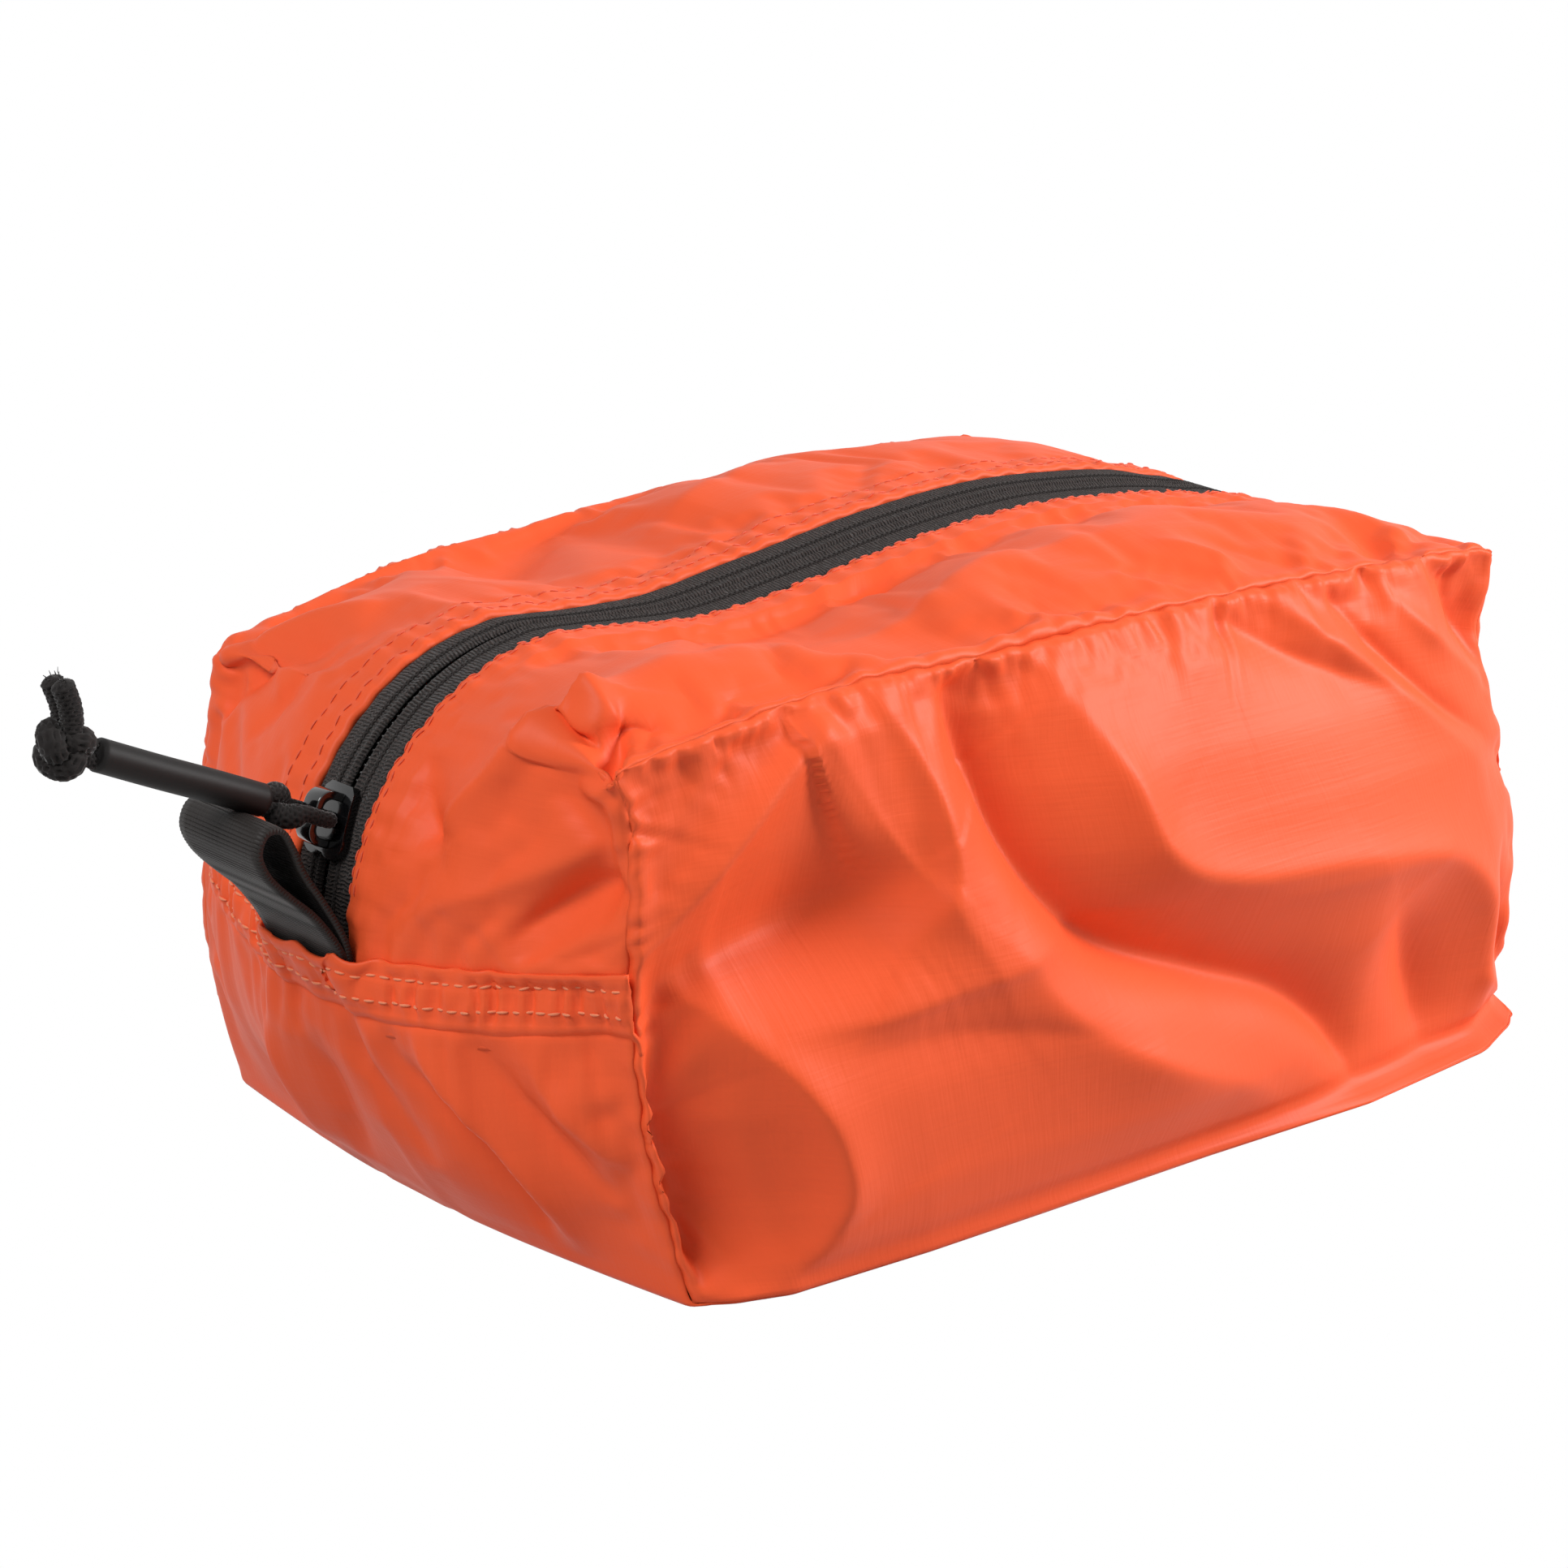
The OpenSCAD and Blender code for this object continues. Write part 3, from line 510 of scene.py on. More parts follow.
def vertex_group(obj, name, weights):
    group = obj.vertex_groups.new(name=name)
    for level in np.unique(weights[weights > 0]):
        group.add(np.nonzero(weights == level)[0].tolist(), float(level), "REPLACE")
    return group


# Thin nylon, drawn in along its gathered seams and pressed out by the filling
CLOTH_SETTINGS = {
    "quality": 6, "mass": 0.1, "tension_stiffness": 12, "compression_stiffness": 12,
    "shear_stiffness": 4, "bending_stiffness": 0.8, "tension_damping": 6, "compression_damping": 6,
    "air_damping": 4, "vertex_group_mass": "held", "pin_stiffness": 3, "shrink_min": -0.02,
    "shrink_max": 0.03, "vertex_group_shrink": "seams", "use_pressure": True,
    "uniform_pressure_force": 1.2,
}


def draped(ring, front, back, frames=30):
    """The same grids after a cloth simulation: the seams draw in, so the cloth puckers and
    creases."""
    obj, ring_at, front_at, back_at = closed_form(ring, front, back)
    held = np.zeros(len(obj.data.vertices))
    seams = np.zeros(len(obj.data.vertices))
    on_zip = np.zeros(ring_at.shape, bool)
    on_zip[BAND_LEFT:BAND_RIGHT + 1] = np.abs(Y_ROWS)[None] <= ZIP_EDGE
    floor = np.zeros(ring_at.shape, bool)
    floor[2 * SIDE_SEGMENTS + SEGMENTS["top"] + 2:-1, 2:-2] = True
    held[ring_at[on_zip | floor]] = 1
    beside_zip = np.zeros(ring_at.shape, bool)
    away = np.abs(Y_ROWS)
    beside_zip[BAND_LEFT:BAND_RIGHT + 1] = (away > ZIP_EDGE) & (away < 12)
    held[ring_at[beside_zip]] = 0.6
    bands = np.zeros(ring_at.shape, bool)
    bands[[BAND_LEFT, BAND_RIGHT]] = True
    held[ring_at[bands]] = np.maximum(held[ring_at[bands]], 0.5)
    for j in (0, -1):
        held[ring_at[:, j]] = np.maximum(held[ring_at[:, j]], 0.55)
        seams[ring_at[:, j]] = 1
        for corner in (0, SIDE_SEGMENTS, SIDE_SEGMENTS + SEGMENTS["top"],
                       2 * SIDE_SEGMENTS + SEGMENTS["top"]):
            held[ring_at[corner, j]] = 1
    for panel_at in (front_at, back_at):
        held[panel_at[1:-1, 1:3]] = 0.6
    for j in (1, -2):
        seams[ring_at[:, j]] = 0.5
    vertex_group(obj, "held", held)
    vertex_group(obj, "seams", seams)
    start = np.array([v.co for v in obj.data.vertices]) / MM
    cloth = obj.modifiers.new("Cloth", "CLOTH")
    for name, value in CLOTH_SETTINGS.items():
        setattr(cloth.settings, name, value)
    cloth.settings.effector_weights.gravity = 0
    cloth.collision_settings.use_collision = False
    cloth.point_cache.frame_end = frames
    scene = bpy.context.scene
    for number in range(1, frames + 1):
        scene.frame_set(number)
    bpy.context.view_layer.objects.active = obj
    bpy.ops.object.modifier_apply(modifier="Cloth")
    scene.frame_set(1)
    at = np.array([v.co for v in obj.data.vertices]) / MM
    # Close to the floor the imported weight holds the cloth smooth
    loose = 0.2 + 0.8 * np.clip((at[:, 2] - 6) / 22, 0, 1)[:, None]
    at = start + (at - start) * loose
    at[:, 2] = np.maximum(at[:, 2], 0)
    bpy.data.objects.remove(obj)
    return at[ring_at], at[front_at], at[back_at]


# SEWN DETAIL, heights in millimetres on the cloth's outer side

# Rows of stitching in from a gusset's edge at the zip, and down from an end seam's folded edge
HEM_ROWS = (1.7, 4.0)
BACK_HEM_ROWS = (3.8, 8.0)
BAND_ROWS = (2.3, 7.6)
# The image points that place them
HEM_POINTS = ("zip hem inner row", "zip hem outer row")
BAND_POINTS = ("end seam upper row", "end seam lower row")
# The side seams' own stitches, which show as beads along them
SEAM_STITCH = 2.7


def lengths_along(grid, axis):
    """Mean length along one direction of a grid, from its first row, for each of its points."""
    steps = np.linalg.norm(np.diff(grid, axis=axis), axis=2).mean(1 - axis)
    lengths = np.r_[0, np.cumsum(steps)]
    return np.broadcast_to(lengths[:, None] if axis == 0 else lengths[None], grid.shape[:2])


def puckers(along, away, seed, spacing, reach, width, height, slant=0.5):
    """Short creases that run in from a seam, at uneven spacing, and die away from it."""
    rng = np.random.default_rng(seed)
    total = np.zeros(along.shape)
    place = along.min()
    while place < along.max():
        lean, w = rng.uniform(-slant, slant), width * rng.uniform(0.6, 1.5)
        deep, far = height * rng.uniform(0.3, 1.3), reach * rng.uniform(0.5, 1.6)
        d = along - place - lean * away
        shape = hump(d, w) - 0.5 * hump(d - 1.8 * w, w)
        total -= deep * shape * np.exp(-away / far)
        place += spacing * rng.uniform(0.55, 1.45)
    return total


def tucked(grid, edge, depth=1.0, reach=0.8):
    """The grid with its edge turned in towards the sack's middle, as the cloth is at a seam, and
    with the small waves of the front seams. Pieces that meet there move alike and stay together."""
    middle = np.stack([np.clip(grid[..., 0], -70, 70), np.zeros(grid.shape[:2]),
                       np.full(grid.shape[:2], 43.0)], -1)
    inward = middle - grid
    inward /= np.linalg.norm(inward, axis=2, keepdims=True)
    moved = grid + inward * (depth * hump(edge, reach))[..., None]
    x, z = grid[..., 0], grid[..., 2]
    near, at_side = np.exp(-edge / 3) * (grid[..., 1] < 0), np.clip((-x - 82) / 6, 0, 1)
    on_top = (np.abs(x) < 82) * (z > 60)
    moved[..., 0] += near * at_side * (0.25 * np.sin(0.61 * z) + 0.15 * np.sin(1.37 * z + 1.3))
    moved[..., 2] += near * on_top * (0.12 * np.sin(1.3 * x) + 0.1 * np.sin(0.71 * x))
    return moved


def raised(grid, heights, out=1):
    """The grid moved along its normals; out is -1 where its order makes them point inwards."""
    return grid + out * normals_of(grid) * np.asarray(heights)[..., None]


def sewn_panel(grid, out, seed, gathered, folds):
    """A side panel's fine surface: its folds, and creases all along its seam, which lies in a
    groove. gathered scales them."""
    fine = folded_panel(refined(grid, 4), folds, -out)
    u, v = lengths_along(fine, 0), lengths_along(fine, 1)
    right, top = u.max() - u, v.max() - v
    h = (puckers(u, top, seed, spacing=4.4, reach=3.5, width=0.8, height=0.6)
         + puckers(u, top, seed + 4, spacing=13, reach=9, width=1.6, height=1.0))
    h += (puckers(v, u, seed + 2, spacing=5.5, reach=4, width=1.1, height=0.9)
          + puckers(v, right, seed + 3, spacing=9, reach=6, width=1.8, height=0.2))
    h *= gathered
    edge = np.minimum(np.minimum(u, right), np.minimum(v, top))
    h += 0.22 * np.cos(2 * math.pi * u / SEAM_STITCH) * hump(top - 1.2, 0.7)
    return tucked(raised(fine, h * (1 - hump(edge, 0.8)), out), edge)


def sewn_gusset(half, side, seed, crinkled, gathered, folds, stitched):
    """A zip gusset's fine surface: creases at its seam, and a turned hem with two stitched rows
    along the zip. half runs from the seam to the zip's edge; crinkled scales the hem's puckers and
    gathered the seam's, and stitched gives the rows' distances from the zip's edge."""
    fine = refined(half, 4)
    u = lengths_along(fine, 0)
    across = lengths_along(fine, 1)
    seam, away = across, across.max() - across
    past_hem = np.maximum(away - stitched[1], 0)
    h = gathered * puckers(u, seam, seed, spacing=8, reach=6, width=1.4, height=0.9)
    h += fold_heights(np.stack([u, seam], -1), folds) * (1 - hump(away, 5))
    h *= 1 - hump(seam, 0.9)
    h += 0.3 * rise(-away, -stitched[1], 0.4)
    h -= 0.25 * sum(hump(away - row, 0.5) for row in stitched)
    h += crinkled * puckers(u, np.abs(away - 1), seed + 1, spacing=3.2, reach=2, width=0.7,
                            height=0.28, slant=1.2)
    h += crinkled * 0.6 * puckers(u, past_hem, seed + 2, spacing=5, reach=6, width=1.2, height=0.6)
    h = np.where(away < 6, np.maximum(h, -0.1 + 0.1 * np.minimum(away, 1)), h)
    h -= 1.2 * hump(away, 0.35)
    return tucked(raised(fine, h, side), seam)


def sewn_bottom(strip):
    """The bottom gusset, up both ends to their seams: puckers and folds under the seams, gathered
    sides, and a flat floor."""
    fine = refined(strip, 4, 3)
    u, v = lengths_along(fine, 0), lengths_along(fine, 1)
    seam = np.minimum(v, v.max() - v)
    h = np.zeros(u.shape)
    for away, seed in ((u, 61), (u.max() - u, 67)):
        below_seam = np.maximum(away - 8, 0)
        h += (puckers(v, below_seam, seed, spacing=4.2, reach=11, width=1.5, height=1.0, slant=0.25)
              * np.clip((away - 9) / 3, 0, 1))
    h *= 0.3 + 0.7 * np.clip((seam - 2) / 12, 0, 1)
    for down, across in ((u.max() - u, v), (u, v.max() - v)):
        h += fold_heights(np.stack([down, across], -1), LEFT_END_FOLDS)
    ends = np.minimum(u, u.max() - u)
    h -= 0.7 * rise(-ends, -9.2, 0.3)
    on_floor = np.clip((ends - 44) / 6, 0, 1)
    fine = tucked(raised(fine, h * (1 - on_floor) * (1 - hump(seam, 0.8))), seam)
    fine[..., 2] = np.maximum(fine[..., 2], 0)
    return fine


def sewn_band(strip, out, seed):
    """An end seam's fine surface, from its folded edge down: two stitched rows with short upright
    puckers between them, standing proud where it covers the webbing, and ending level."""
    fine = refined(strip, 5)
    down, across = lengths_along(fine, 0), lengths_along(fine, 1)
    y = fine[..., 1]
    h = 0.8 * rise(-down, -8.8, 0.3) - 0.8 * rise(down, 9.8, 0.3)
    h += 3.6 * np.exp(-(y / 12.5) ** 6) * hump(down, 6)
    h -= 0.4 * sum(hump(down - row, 0.5) for row in BAND_ROWS)
    tucks = puckers(across, np.abs(down - 5), seed, spacing=3.6, reach=6, width=0.8, height=0.9,
                    slant=0.3)
    tucks *= (0.2 + 0.8 * np.clip((SEAM_Y - y) / 25, 0, 1)) * rise(-down, -8, 0.4)
    tucks *= 1 - 0.8 * np.exp(-(y / 12) ** 6)
    return raised(fine, h + tucks * (1 - hump(down, 1.5)), out)


# Half the gap between the tapes where the slider travels, how much less it is beyond, and how far
# a tape reaches in under the hem
TAPE_GAP, TAPE_CLOSES, TAPE_REACH = 0.58, 0.5, 9.4


def tape_half(line, side, turn_length):
    """One half of the zip's tape: flat, with a lip rolled over the coil where the halves meet.
    The halves stand apart along the turn that the slider travels."""
    u = lengths_of(line)[:, None]
    gap = TAPE_GAP - TAPE_CLOSES * rise(u, turn_length + 4, 1.5)
    y = gap + np.linspace(0, 1, 22)[None] ** 1.3 * (TAPE_REACH - gap)
    lip = y - gap
    h = (-0.35 + 0.3 * hump(lip - 0.7, 0.5) - 0.45 * hump(lip, 0.28) - 0.12 * hump(lip - 1.7, 0.35)
         - 0.45 * rise(y, ZIP_EDGE - 0.2, 0.15))
    grid = line[:, None] + upright(line)[:, None] * h[..., None]
    grid[..., 1] = side * y
    return grid


def upright(line):
    """Unit directions out of the sack, square to a line that runs along it."""
    along = np.gradient(line, axis=0)
    up = np.stack([-along[:, 2], np.zeros(len(line)), along[:, 0]], 1)
    return up / np.linalg.norm(up, axis=1, keepdims=True)


def lengths_of(line):
    return np.r_[0, np.cumsum(np.linalg.norm(np.diff(line, axis=0), axis=1))]


def refined_line(line):
    return along_line(line, np.arange(0, lengths_of(line)[-1], 0.2))


def along_line(line, at, values=None):
    """Points of a polyline, or values that belong to its points, at the given lengths along it."""
    lengths, values = lengths_of(line), line if values is None else values
    return np.stack([np.interp(at, lengths, values[:, k]) for k in range(3)], 1)


def row_of(grid, axis, distance, from_end=False):
    """The line of grid points that runs at a distance from one edge of a fine grid, and its
    normals."""
    lengths = lengths_along(grid, axis)
    lengths = lengths[:, 0] if axis == 0 else lengths[0]
    if from_end:
        distance = lengths[-1] - distance
    at = int(np.argmin(np.abs(lengths - distance)))
    n = normals_of(grid)
    return (grid[at], n[at]) if axis == 0 else (grid[:, at], n[:, at])


# SWEPT ROUND PIECES

def frames_along(path):
    """Two unit directions square to a path at each of its points, without twist."""
    ahead = np.gradient(path, axis=0)
    ahead /= np.linalg.norm(ahead, axis=1, keepdims=True)
    side = np.cross(ahead[0], (0, 0, 1.0))
    sides = []
    for a in ahead:
        side = side - a * (side @ a)
        side /= np.linalg.norm(side)
        sides.append(side)
    sides = np.array(sides)
    return sides, np.cross(ahead, sides)


# Length over which a tube's ends round off
ROUNDED_END = 0.8


def tube_mesh(name, path, radius, around=24):
    """A closed tube in millimetres along a path. radius is a number, or gives the radius from the
    length along the path and the angle round it."""
    a, b = frames_along(path)
    s = lengths_of(path)[:, None]
    angle = np.linspace(0, 2 * math.pi, around, endpoint=False)[None]
    r = radius(s, angle) if callable(radius) else np.full((len(path), around), radius)
    ends = np.minimum(s, s.max() - s)
    r = r * np.sqrt(np.clip(ends / ROUNDED_END, 0.02, 1))
    rings = path[:, None] + (r * np.cos(angle))[..., None] * a[:, None] + (
        r * np.sin(angle))[..., None] * b[:, None]
    index = np.arange(rings.shape[0] * around).reshape(-1, around)
    wrapped = np.hstack([index, index[:, :1]])
    faces = quads(wrapped).tolist() + [index[0].tolist(), index[-1][::-1].tolist()]
    uvs = np.stack(np.broadcast_arrays(s * MM, angle * MM), -1).reshape(-1, 2)
    return mesh_object(name, rings.reshape(-1, 3), faces, uvs)


def braid(radius, around=8, pitch=2.4, depth=0.1):
    """The radius of a braided cord: two sets of strands that cross in diamonds."""
    def at(s, angle):
        turn = 2 * math.pi * s / pitch
        weave = np.maximum(np.abs(np.cos(around / 2 * angle + turn)),
                           np.abs(np.cos(around / 2 * angle - turn)))
        return radius * (1 - depth + depth * 1.6 * weave)
    return at


# THE PHOTOGRAPH'S VIEW

def view_scale():
    camera = bpy.context.scene.camera.data
    return max(IMAGE_W, IMAGE_H) * camera.lens / camera.sensor_width


def view_centre():
    camera, side = bpy.context.scene.camera.data, max(IMAGE_W, IMAGE_H)
    return IMAGE_W / 2 - camera.shift_x * side, IMAGE_H / 2 + camera.shift_y * side


def camera_ray(x, y):
    """The camera's place in millimetres, and the direction of the ray through an image point."""
    matrix = bpy.context.scene.camera.matrix_world
    across, down = view_centre()
    ray = matrix.to_3x3() @ Vector((x - across, down - y, -view_scale()))
    return np.array(matrix.translation) / MM, np.array(ray.normalized())


def image_of(points):
    """Where places in millimetres show in the photograph's frame."""
    matrix = bpy.context.scene.camera.matrix_world
    seen = (np.array(points) * MM - np.array(matrix.translation)) @ np.array(matrix.to_3x3())
    across, down = view_centre()
    return np.stack([across - view_scale() * seen[:, 0] / seen[:, 2],
                     down + view_scale() * seen[:, 1] / seen[:, 2]], 1)


def mesh_of(objects):
    """The vertices in millimetres and the faces of some pieces, as finished and placed."""
    co, faces, first = [], [], 0
    for obj in objects:
        flat = np.zeros(len(obj.data.vertices) * 3)
        obj.data.vertices.foreach_get("co", flat)
        matrix = np.array(obj.matrix_world)
        co.append((flat.reshape(-1, 3) @ matrix[:3, :3].T + matrix[:3, 3]) / MM)
        faces += [[first + k for k in p.vertices] for p in obj.data.polygons]
        first += len(co[-1])
    return np.vstack(co), faces


def placed(point, carrier):
    """Where the ray through an image point meets a finished piece, in millimetres. A miss takes the
    place on it that lies nearest the ray."""
    bpy.context.view_layer.update()
    co, faces = mesh_of([carrier])
    start, ray = camera_ray(*IMAGE_POINTS[point])
    hit = BVHTree.FromPolygons(co.tolist(), faces).ray_cast(Vector(start), Vector(ray))[0]
    if hit is None:
        off = co - start
        off -= (off @ ray)[:, None] * ray
        hit = co[np.argmin(np.linalg.norm(off, axis=1))]
    return np.array(hit)


def row_through(point, name, axis, from_end=False):
    """How far in from the edge of a cloth piece the row through an image point lies."""
    grid = MADE[name]
    off = np.linalg.norm(grid - placed(point, bpy.data.objects[name]), axis=2)
    nearest = np.unravel_index(np.argmin(off), off.shape)
    lengths = lengths_along(grid, axis)
    return lengths.max() - lengths[nearest] if from_end else lengths[nearest]


def shown(tree, points):
    """Which of some places nothing hides from the camera. Each ray starts a little off its
    place."""
    start = camera_ray(0, 0)[0]
    result = []
    for p in points:
        ray = start - p
        far = np.linalg.norm(ray)
        hit = tree.ray_cast(Vector(p + 0.4 * ray / far), Vector(ray), far - 1)[0]
        result.append(hit is None)
    return np.array(result)


def middle_shown(tree, names):
    """The middle, in the image, of what shows of some pieces."""
    co, _ = mesh_of([bpy.data.objects[name] for name in names])
    co = co[::max(1, len(co) // 1500)]
    seen = image_of(co[shown(tree, co)])
    return (seen.min(0) + seen.max(0)) / 2


def edge_shown(tree, co, axis, sign):
    """The outermost x or y in the image, to one side, of the vertices that show."""
    at = image_of(co)[:, axis]
    for k in np.argsort(-sign * at)[:400]:
        if shown(tree, co[k:k + 1])[0]:
            return at[k]
    return sign * max(sign * at)


def image_report():
    """How far in x and y each thing shows from its image point."""
    bpy.context.view_layer.update()
    pieces = [o for o in bpy.context.scene.objects if o.name in MADE["pieces"]]
    co, faces = mesh_of(pieces)
    tree = BVHTree.FromPolygons(co.tolist(), faces)
    loose = ("cord", "knot", "frayed", "sleeve")
    solid, _ = mesh_of([o for o in pieces if not any(word in o.name for word in loose)])
    edges = {"left edge": (0, -1), "right edge": (0, 1), "top edge": (1, -1), "bottom edge": (1, 1)}
    corners = {"front top left corner": ("front_cloth", 0, -1),
               "front top right corner": ("front_cloth", -1, -1),
               "front bottom left corner": ("front_cloth", 0, 0),
               "front bottom right corner": ("front_cloth", -1, 0),
               "back top left corner": ("back_cloth", 0, -1),
               "end seam at the front": ("left_end_band", 0, 0)}
    middles = {"crown": ["cast_slider_crown"], "knot": ["tied_knot"],
               "left tab": ["left_webbing_loop"]}
    off = {}
    for name, point in IMAGE_POINTS.items():
        if name in edges:
            axis, sign = edges[name]
            found = [None, None]
            found[axis] = edge_shown(tree, solid, axis, sign)
        elif name in corners:
            piece, i, j = corners[name]
            found = image_of(MADE[piece][i, j][None])[0]
        elif name in middles:
            found = middle_shown(tree, middles[name])
        else:
            line = image_of(MADE[name])
            found = line[np.argmin(np.linalg.norm(line - point, axis=1))]
        off[name] = [None if want is None else round(float(have - want), 1)
                     for have, want in zip(found, point)]
    return off


# MATERIALS

# Distance from one rib of the zip tape to the next, in metres
TAPE_RIB = 0.00062


def linear(code):
    """The linear colour of an sRGB hex code, as the colour properties and sockets want it."""
    srgb = [int(code[i:i + 2], 16) / 255 for i in (1, 3, 5)]
    return [c / 12.92 if c <= 0.04045 else ((c + 0.055) / 1.055) ** 2.4 for c in srgb]


def add(tree, kind, inputs=(), **settings):
    """Adds a node: settings are its own, and inputs gives each socket a value or a link."""
    node = tree.nodes.new(kind)
    for name, value in settings.items():
        setattr(node, name, value)
    for name, value in dict(inputs).items():
        if isinstance(value, bpy.types.NodeSocket):
            tree.links.new(value, node.inputs[name])
        else:
            node.inputs[name].default_value = value
    return node


def new_material(name, **values):
    """A material with its Principled shader's constants set."""
    material = bpy.data.materials.new(name)
    material.use_nodes = True
    tree = material.node_tree
    shader = tree.nodes["Principled BSDF"]
    for socket, value in values.items():
        shader.inputs[socket.replace("_", " ")].default_value = value
    return material, tree, shader


def tinted(tree, shader, factor, dark, light):
    """Runs the base colour between two colours by a factor."""
    ramp = add(tree, "ShaderNodeMix", {"Factor": factor}, data_type="RGBA")
    ramp.inputs["A"].default_value = (*dark, 1)
    ramp.inputs["B"].default_value = (*light, 1)
    tree.links.new(ramp.outputs["Result"], shader.inputs["Base Color"])


def shaded(colour, share):
    """A colour made darker, or lighter where the share is above 1."""
    return [c * share for c in colour[:3]]


def piece_lengths(tree):
    """A sheet's or a cord's own lengths, in metres."""
    return add(tree, "ShaderNodeUVMap", uv_map="lengths").outputs["UV"]


def place_on(tree):
    """The place on a piece that has no lengths of its own."""
    return add(tree, "ShaderNodeTexCoord").outputs["Object"]


def stretched_noise(tree, source, scale, detail=2.0):
    """Noise whose scale differs along each axis of the source coordinates."""
    mapping = add(tree, "ShaderNodeMapping", {"Vector": source, "Scale": scale})
    return add(tree, "ShaderNodeTexNoise", {"Vector": mapping.outputs["Vector"], "Scale": 1.0,
                                            "Detail": detail}).outputs["Fac"]


def bump(tree, shader, height, strength, distance):
    node = add(tree, "ShaderNodeBump",
               {"Height": height, "Strength": strength, "Distance": distance})
    tree.links.new(node.outputs["Normal"], shader.inputs["Normal"])


def maths(tree, operation, a, b=0.0):
    return add(tree, "ShaderNodeMath", {0: a, 1: b}, operation=operation).outputs["Value"]


def flecked(made, source, scale, shades, strength, distance=0.0002, detail=2.0):
    """A material whose colour runs between two shades, and whose face rises, by one fine noise."""
    material, tree, shader = made
    noise = stretched_noise(tree, source(tree), scale, detail)
    tinted(tree, shader, noise, *shades)
    bump(tree, shader, noise, strength, distance)
    return material


def nylon_cloth(colour):
    """Thin coated nylon taffeta: a satin face with fine slubs along both threads. The real threads
    lie 0.12 mm apart, too fine to show, so the slubs are drawn 0.7 mm apart."""
    material, tree, shader = new_material(
        "Coated nylon taffeta", Roughness=0.5, IOR=1.45, Specular_IOR_Level=0.22)
    lengths = piece_lengths(tree)
    warp = stretched_noise(tree, lengths, (1400, 70, 1))
    weft = stretched_noise(tree, lengths, (70, 1400, 1))
    soft = stretched_noise(tree, lengths, (35, 35, 1), 3.0)
    threads = maths(tree, "ADD", warp, weft)
    tinted(tree, shader, maths(tree, "MULTIPLY_ADD", soft, 0.8), shaded(colour, 0.86), colour)
    bump(tree, shader, threads, 0.22, 0.0002)
    return material


def woven_tape(colour):
    """Woven polyester zip tape: dull and warm grey, with uneven ribs across it, 0.6 mm apart."""
    material, tree, shader = new_material(
        "Woven polyester tape", Roughness=0.85, IOR=1.45, Specular_IOR_Level=0.3, Sheen_Weight=0.1,
        Sheen_Roughness=0.5)
    lengths = piece_lengths(tree)
    along = add(tree, "ShaderNodeSeparateXYZ", {"Vector": lengths}).outputs["X"]
    fleck = stretched_noise(tree, lengths, (900, 900, 1), 4.0)
    waver = maths(tree, "MULTIPLY", stretched_noise(tree, lengths, (600, 900, 1)), 9.0)
    turn = maths(tree, "ADD", maths(tree, "MULTIPLY", along, 2 * math.pi / TAPE_RIB), waver)
    height = maths(tree, "ADD", maths(tree, "SINE", turn), maths(tree, "MULTIPLY", fleck, 2.5))
    # The colour follows the ribs' and flecks' height: painted shade where they sink and painted
    # highlight where they rise
    shade = maths(tree, "MULTIPLY", height, 0.3)
    tinted(tree, shader, shade, shaded(colour, 0.15), shaded(colour, 1.4))
    bump(tree, shader, height, 0.9, 0.0004)
    return material


def grosgrain(colour):
    """Polyester grosgrain webbing: matt, with a faint warp across its ribs."""
    made = new_material("Polyester grosgrain", Roughness=0.55, IOR=1.45, Specular_IOR_Level=0.3,
                        Sheen_Weight=0.04, Sheen_Roughness=0.4)
    shades = shaded(colour, 0.7), shaded(colour, 1.25)
    return flecked(made, piece_lengths, (150, 2600, 1), shades, strength=0.35, distance=0.00015)


def braided_polyester(colour):
    """Braided polyester cord: matt black, each strand of many fine filaments."""
    made = new_material("Braided polyester", Roughness=0.8, IOR=1.48, Specular_IOR_Level=0.25,
                        Sheen_Weight=0.3, Sheen_Roughness=0.4)
    shades = shaded(colour, 0.4), shaded(colour, 1.6)
    return flecked(made, piece_lengths, (2500, 1600, 1), shades, detail=3.0, strength=0.6)


def shrunk_tubing(colour):
    """Polyolefin heat-shrink tubing: a dull black skin that follows what lies inside it."""
    made = new_material("Heat-shrink polyolefin", Roughness=0.55, IOR=1.49, Specular_IOR_Level=0.22)
    shades = shaded(colour, 0.75), shaded(colour, 1.25)
    return flecked(made, place_on, (900, 900, 900), shades, detail=4.0, strength=0.12)


def lacquered_zinc(colour):
    """Die-cast zinc under black lacquer: a deep gloss that catches the light along its edges."""
    made = new_material("Lacquered die-cast zinc", Roughness=0.16, Metallic=0.0, IOR=1.5,
                        Coat_Weight=0.5, Coat_Roughness=0.04)
    shades = colour, shaded(colour, 1.6)
    return flecked(made, place_on, (700, 700, 700), shades, detail=3.0, strength=0.05)


def spun_thread(name, colour):
    """Spun polyester thread, laid in stitches: dull, with the twist of its fibres."""
    made = new_material(name, Roughness=0.6, IOR=1.48, Sheen_Weight=0.2)
    shades = shaded(colour, 0.75), colour
    return flecked(made, place_on, (2500, 2500, 2500), shades, strength=0.3, distance=0.0001)


def moulded_coil(colour):
    """Extruded polyester monofilament, wound into the zip's coil: smooth and slightly glossy."""
    made = new_material("Polyester monofilament", Roughness=0.35, IOR=1.55)
    shades = shaded(colour, 0.5), colour
    return flecked(made, place_on, (1600, 200, 1600), shades, strength=0.5, distance=0.0003)


# PROPERTIES

def length_property(name, description, default):
    return bpy.props.FloatProperty(name=name, description=description, default=default, min=0.0,
                                   precision=5, unit="LENGTH")


def colour_property(name, description, code):
    return bpy.props.FloatVectorProperty(name=name, description=description, subtype="COLOR",
                                         size=3, min=0.0, max=1.0, default=linear(code))


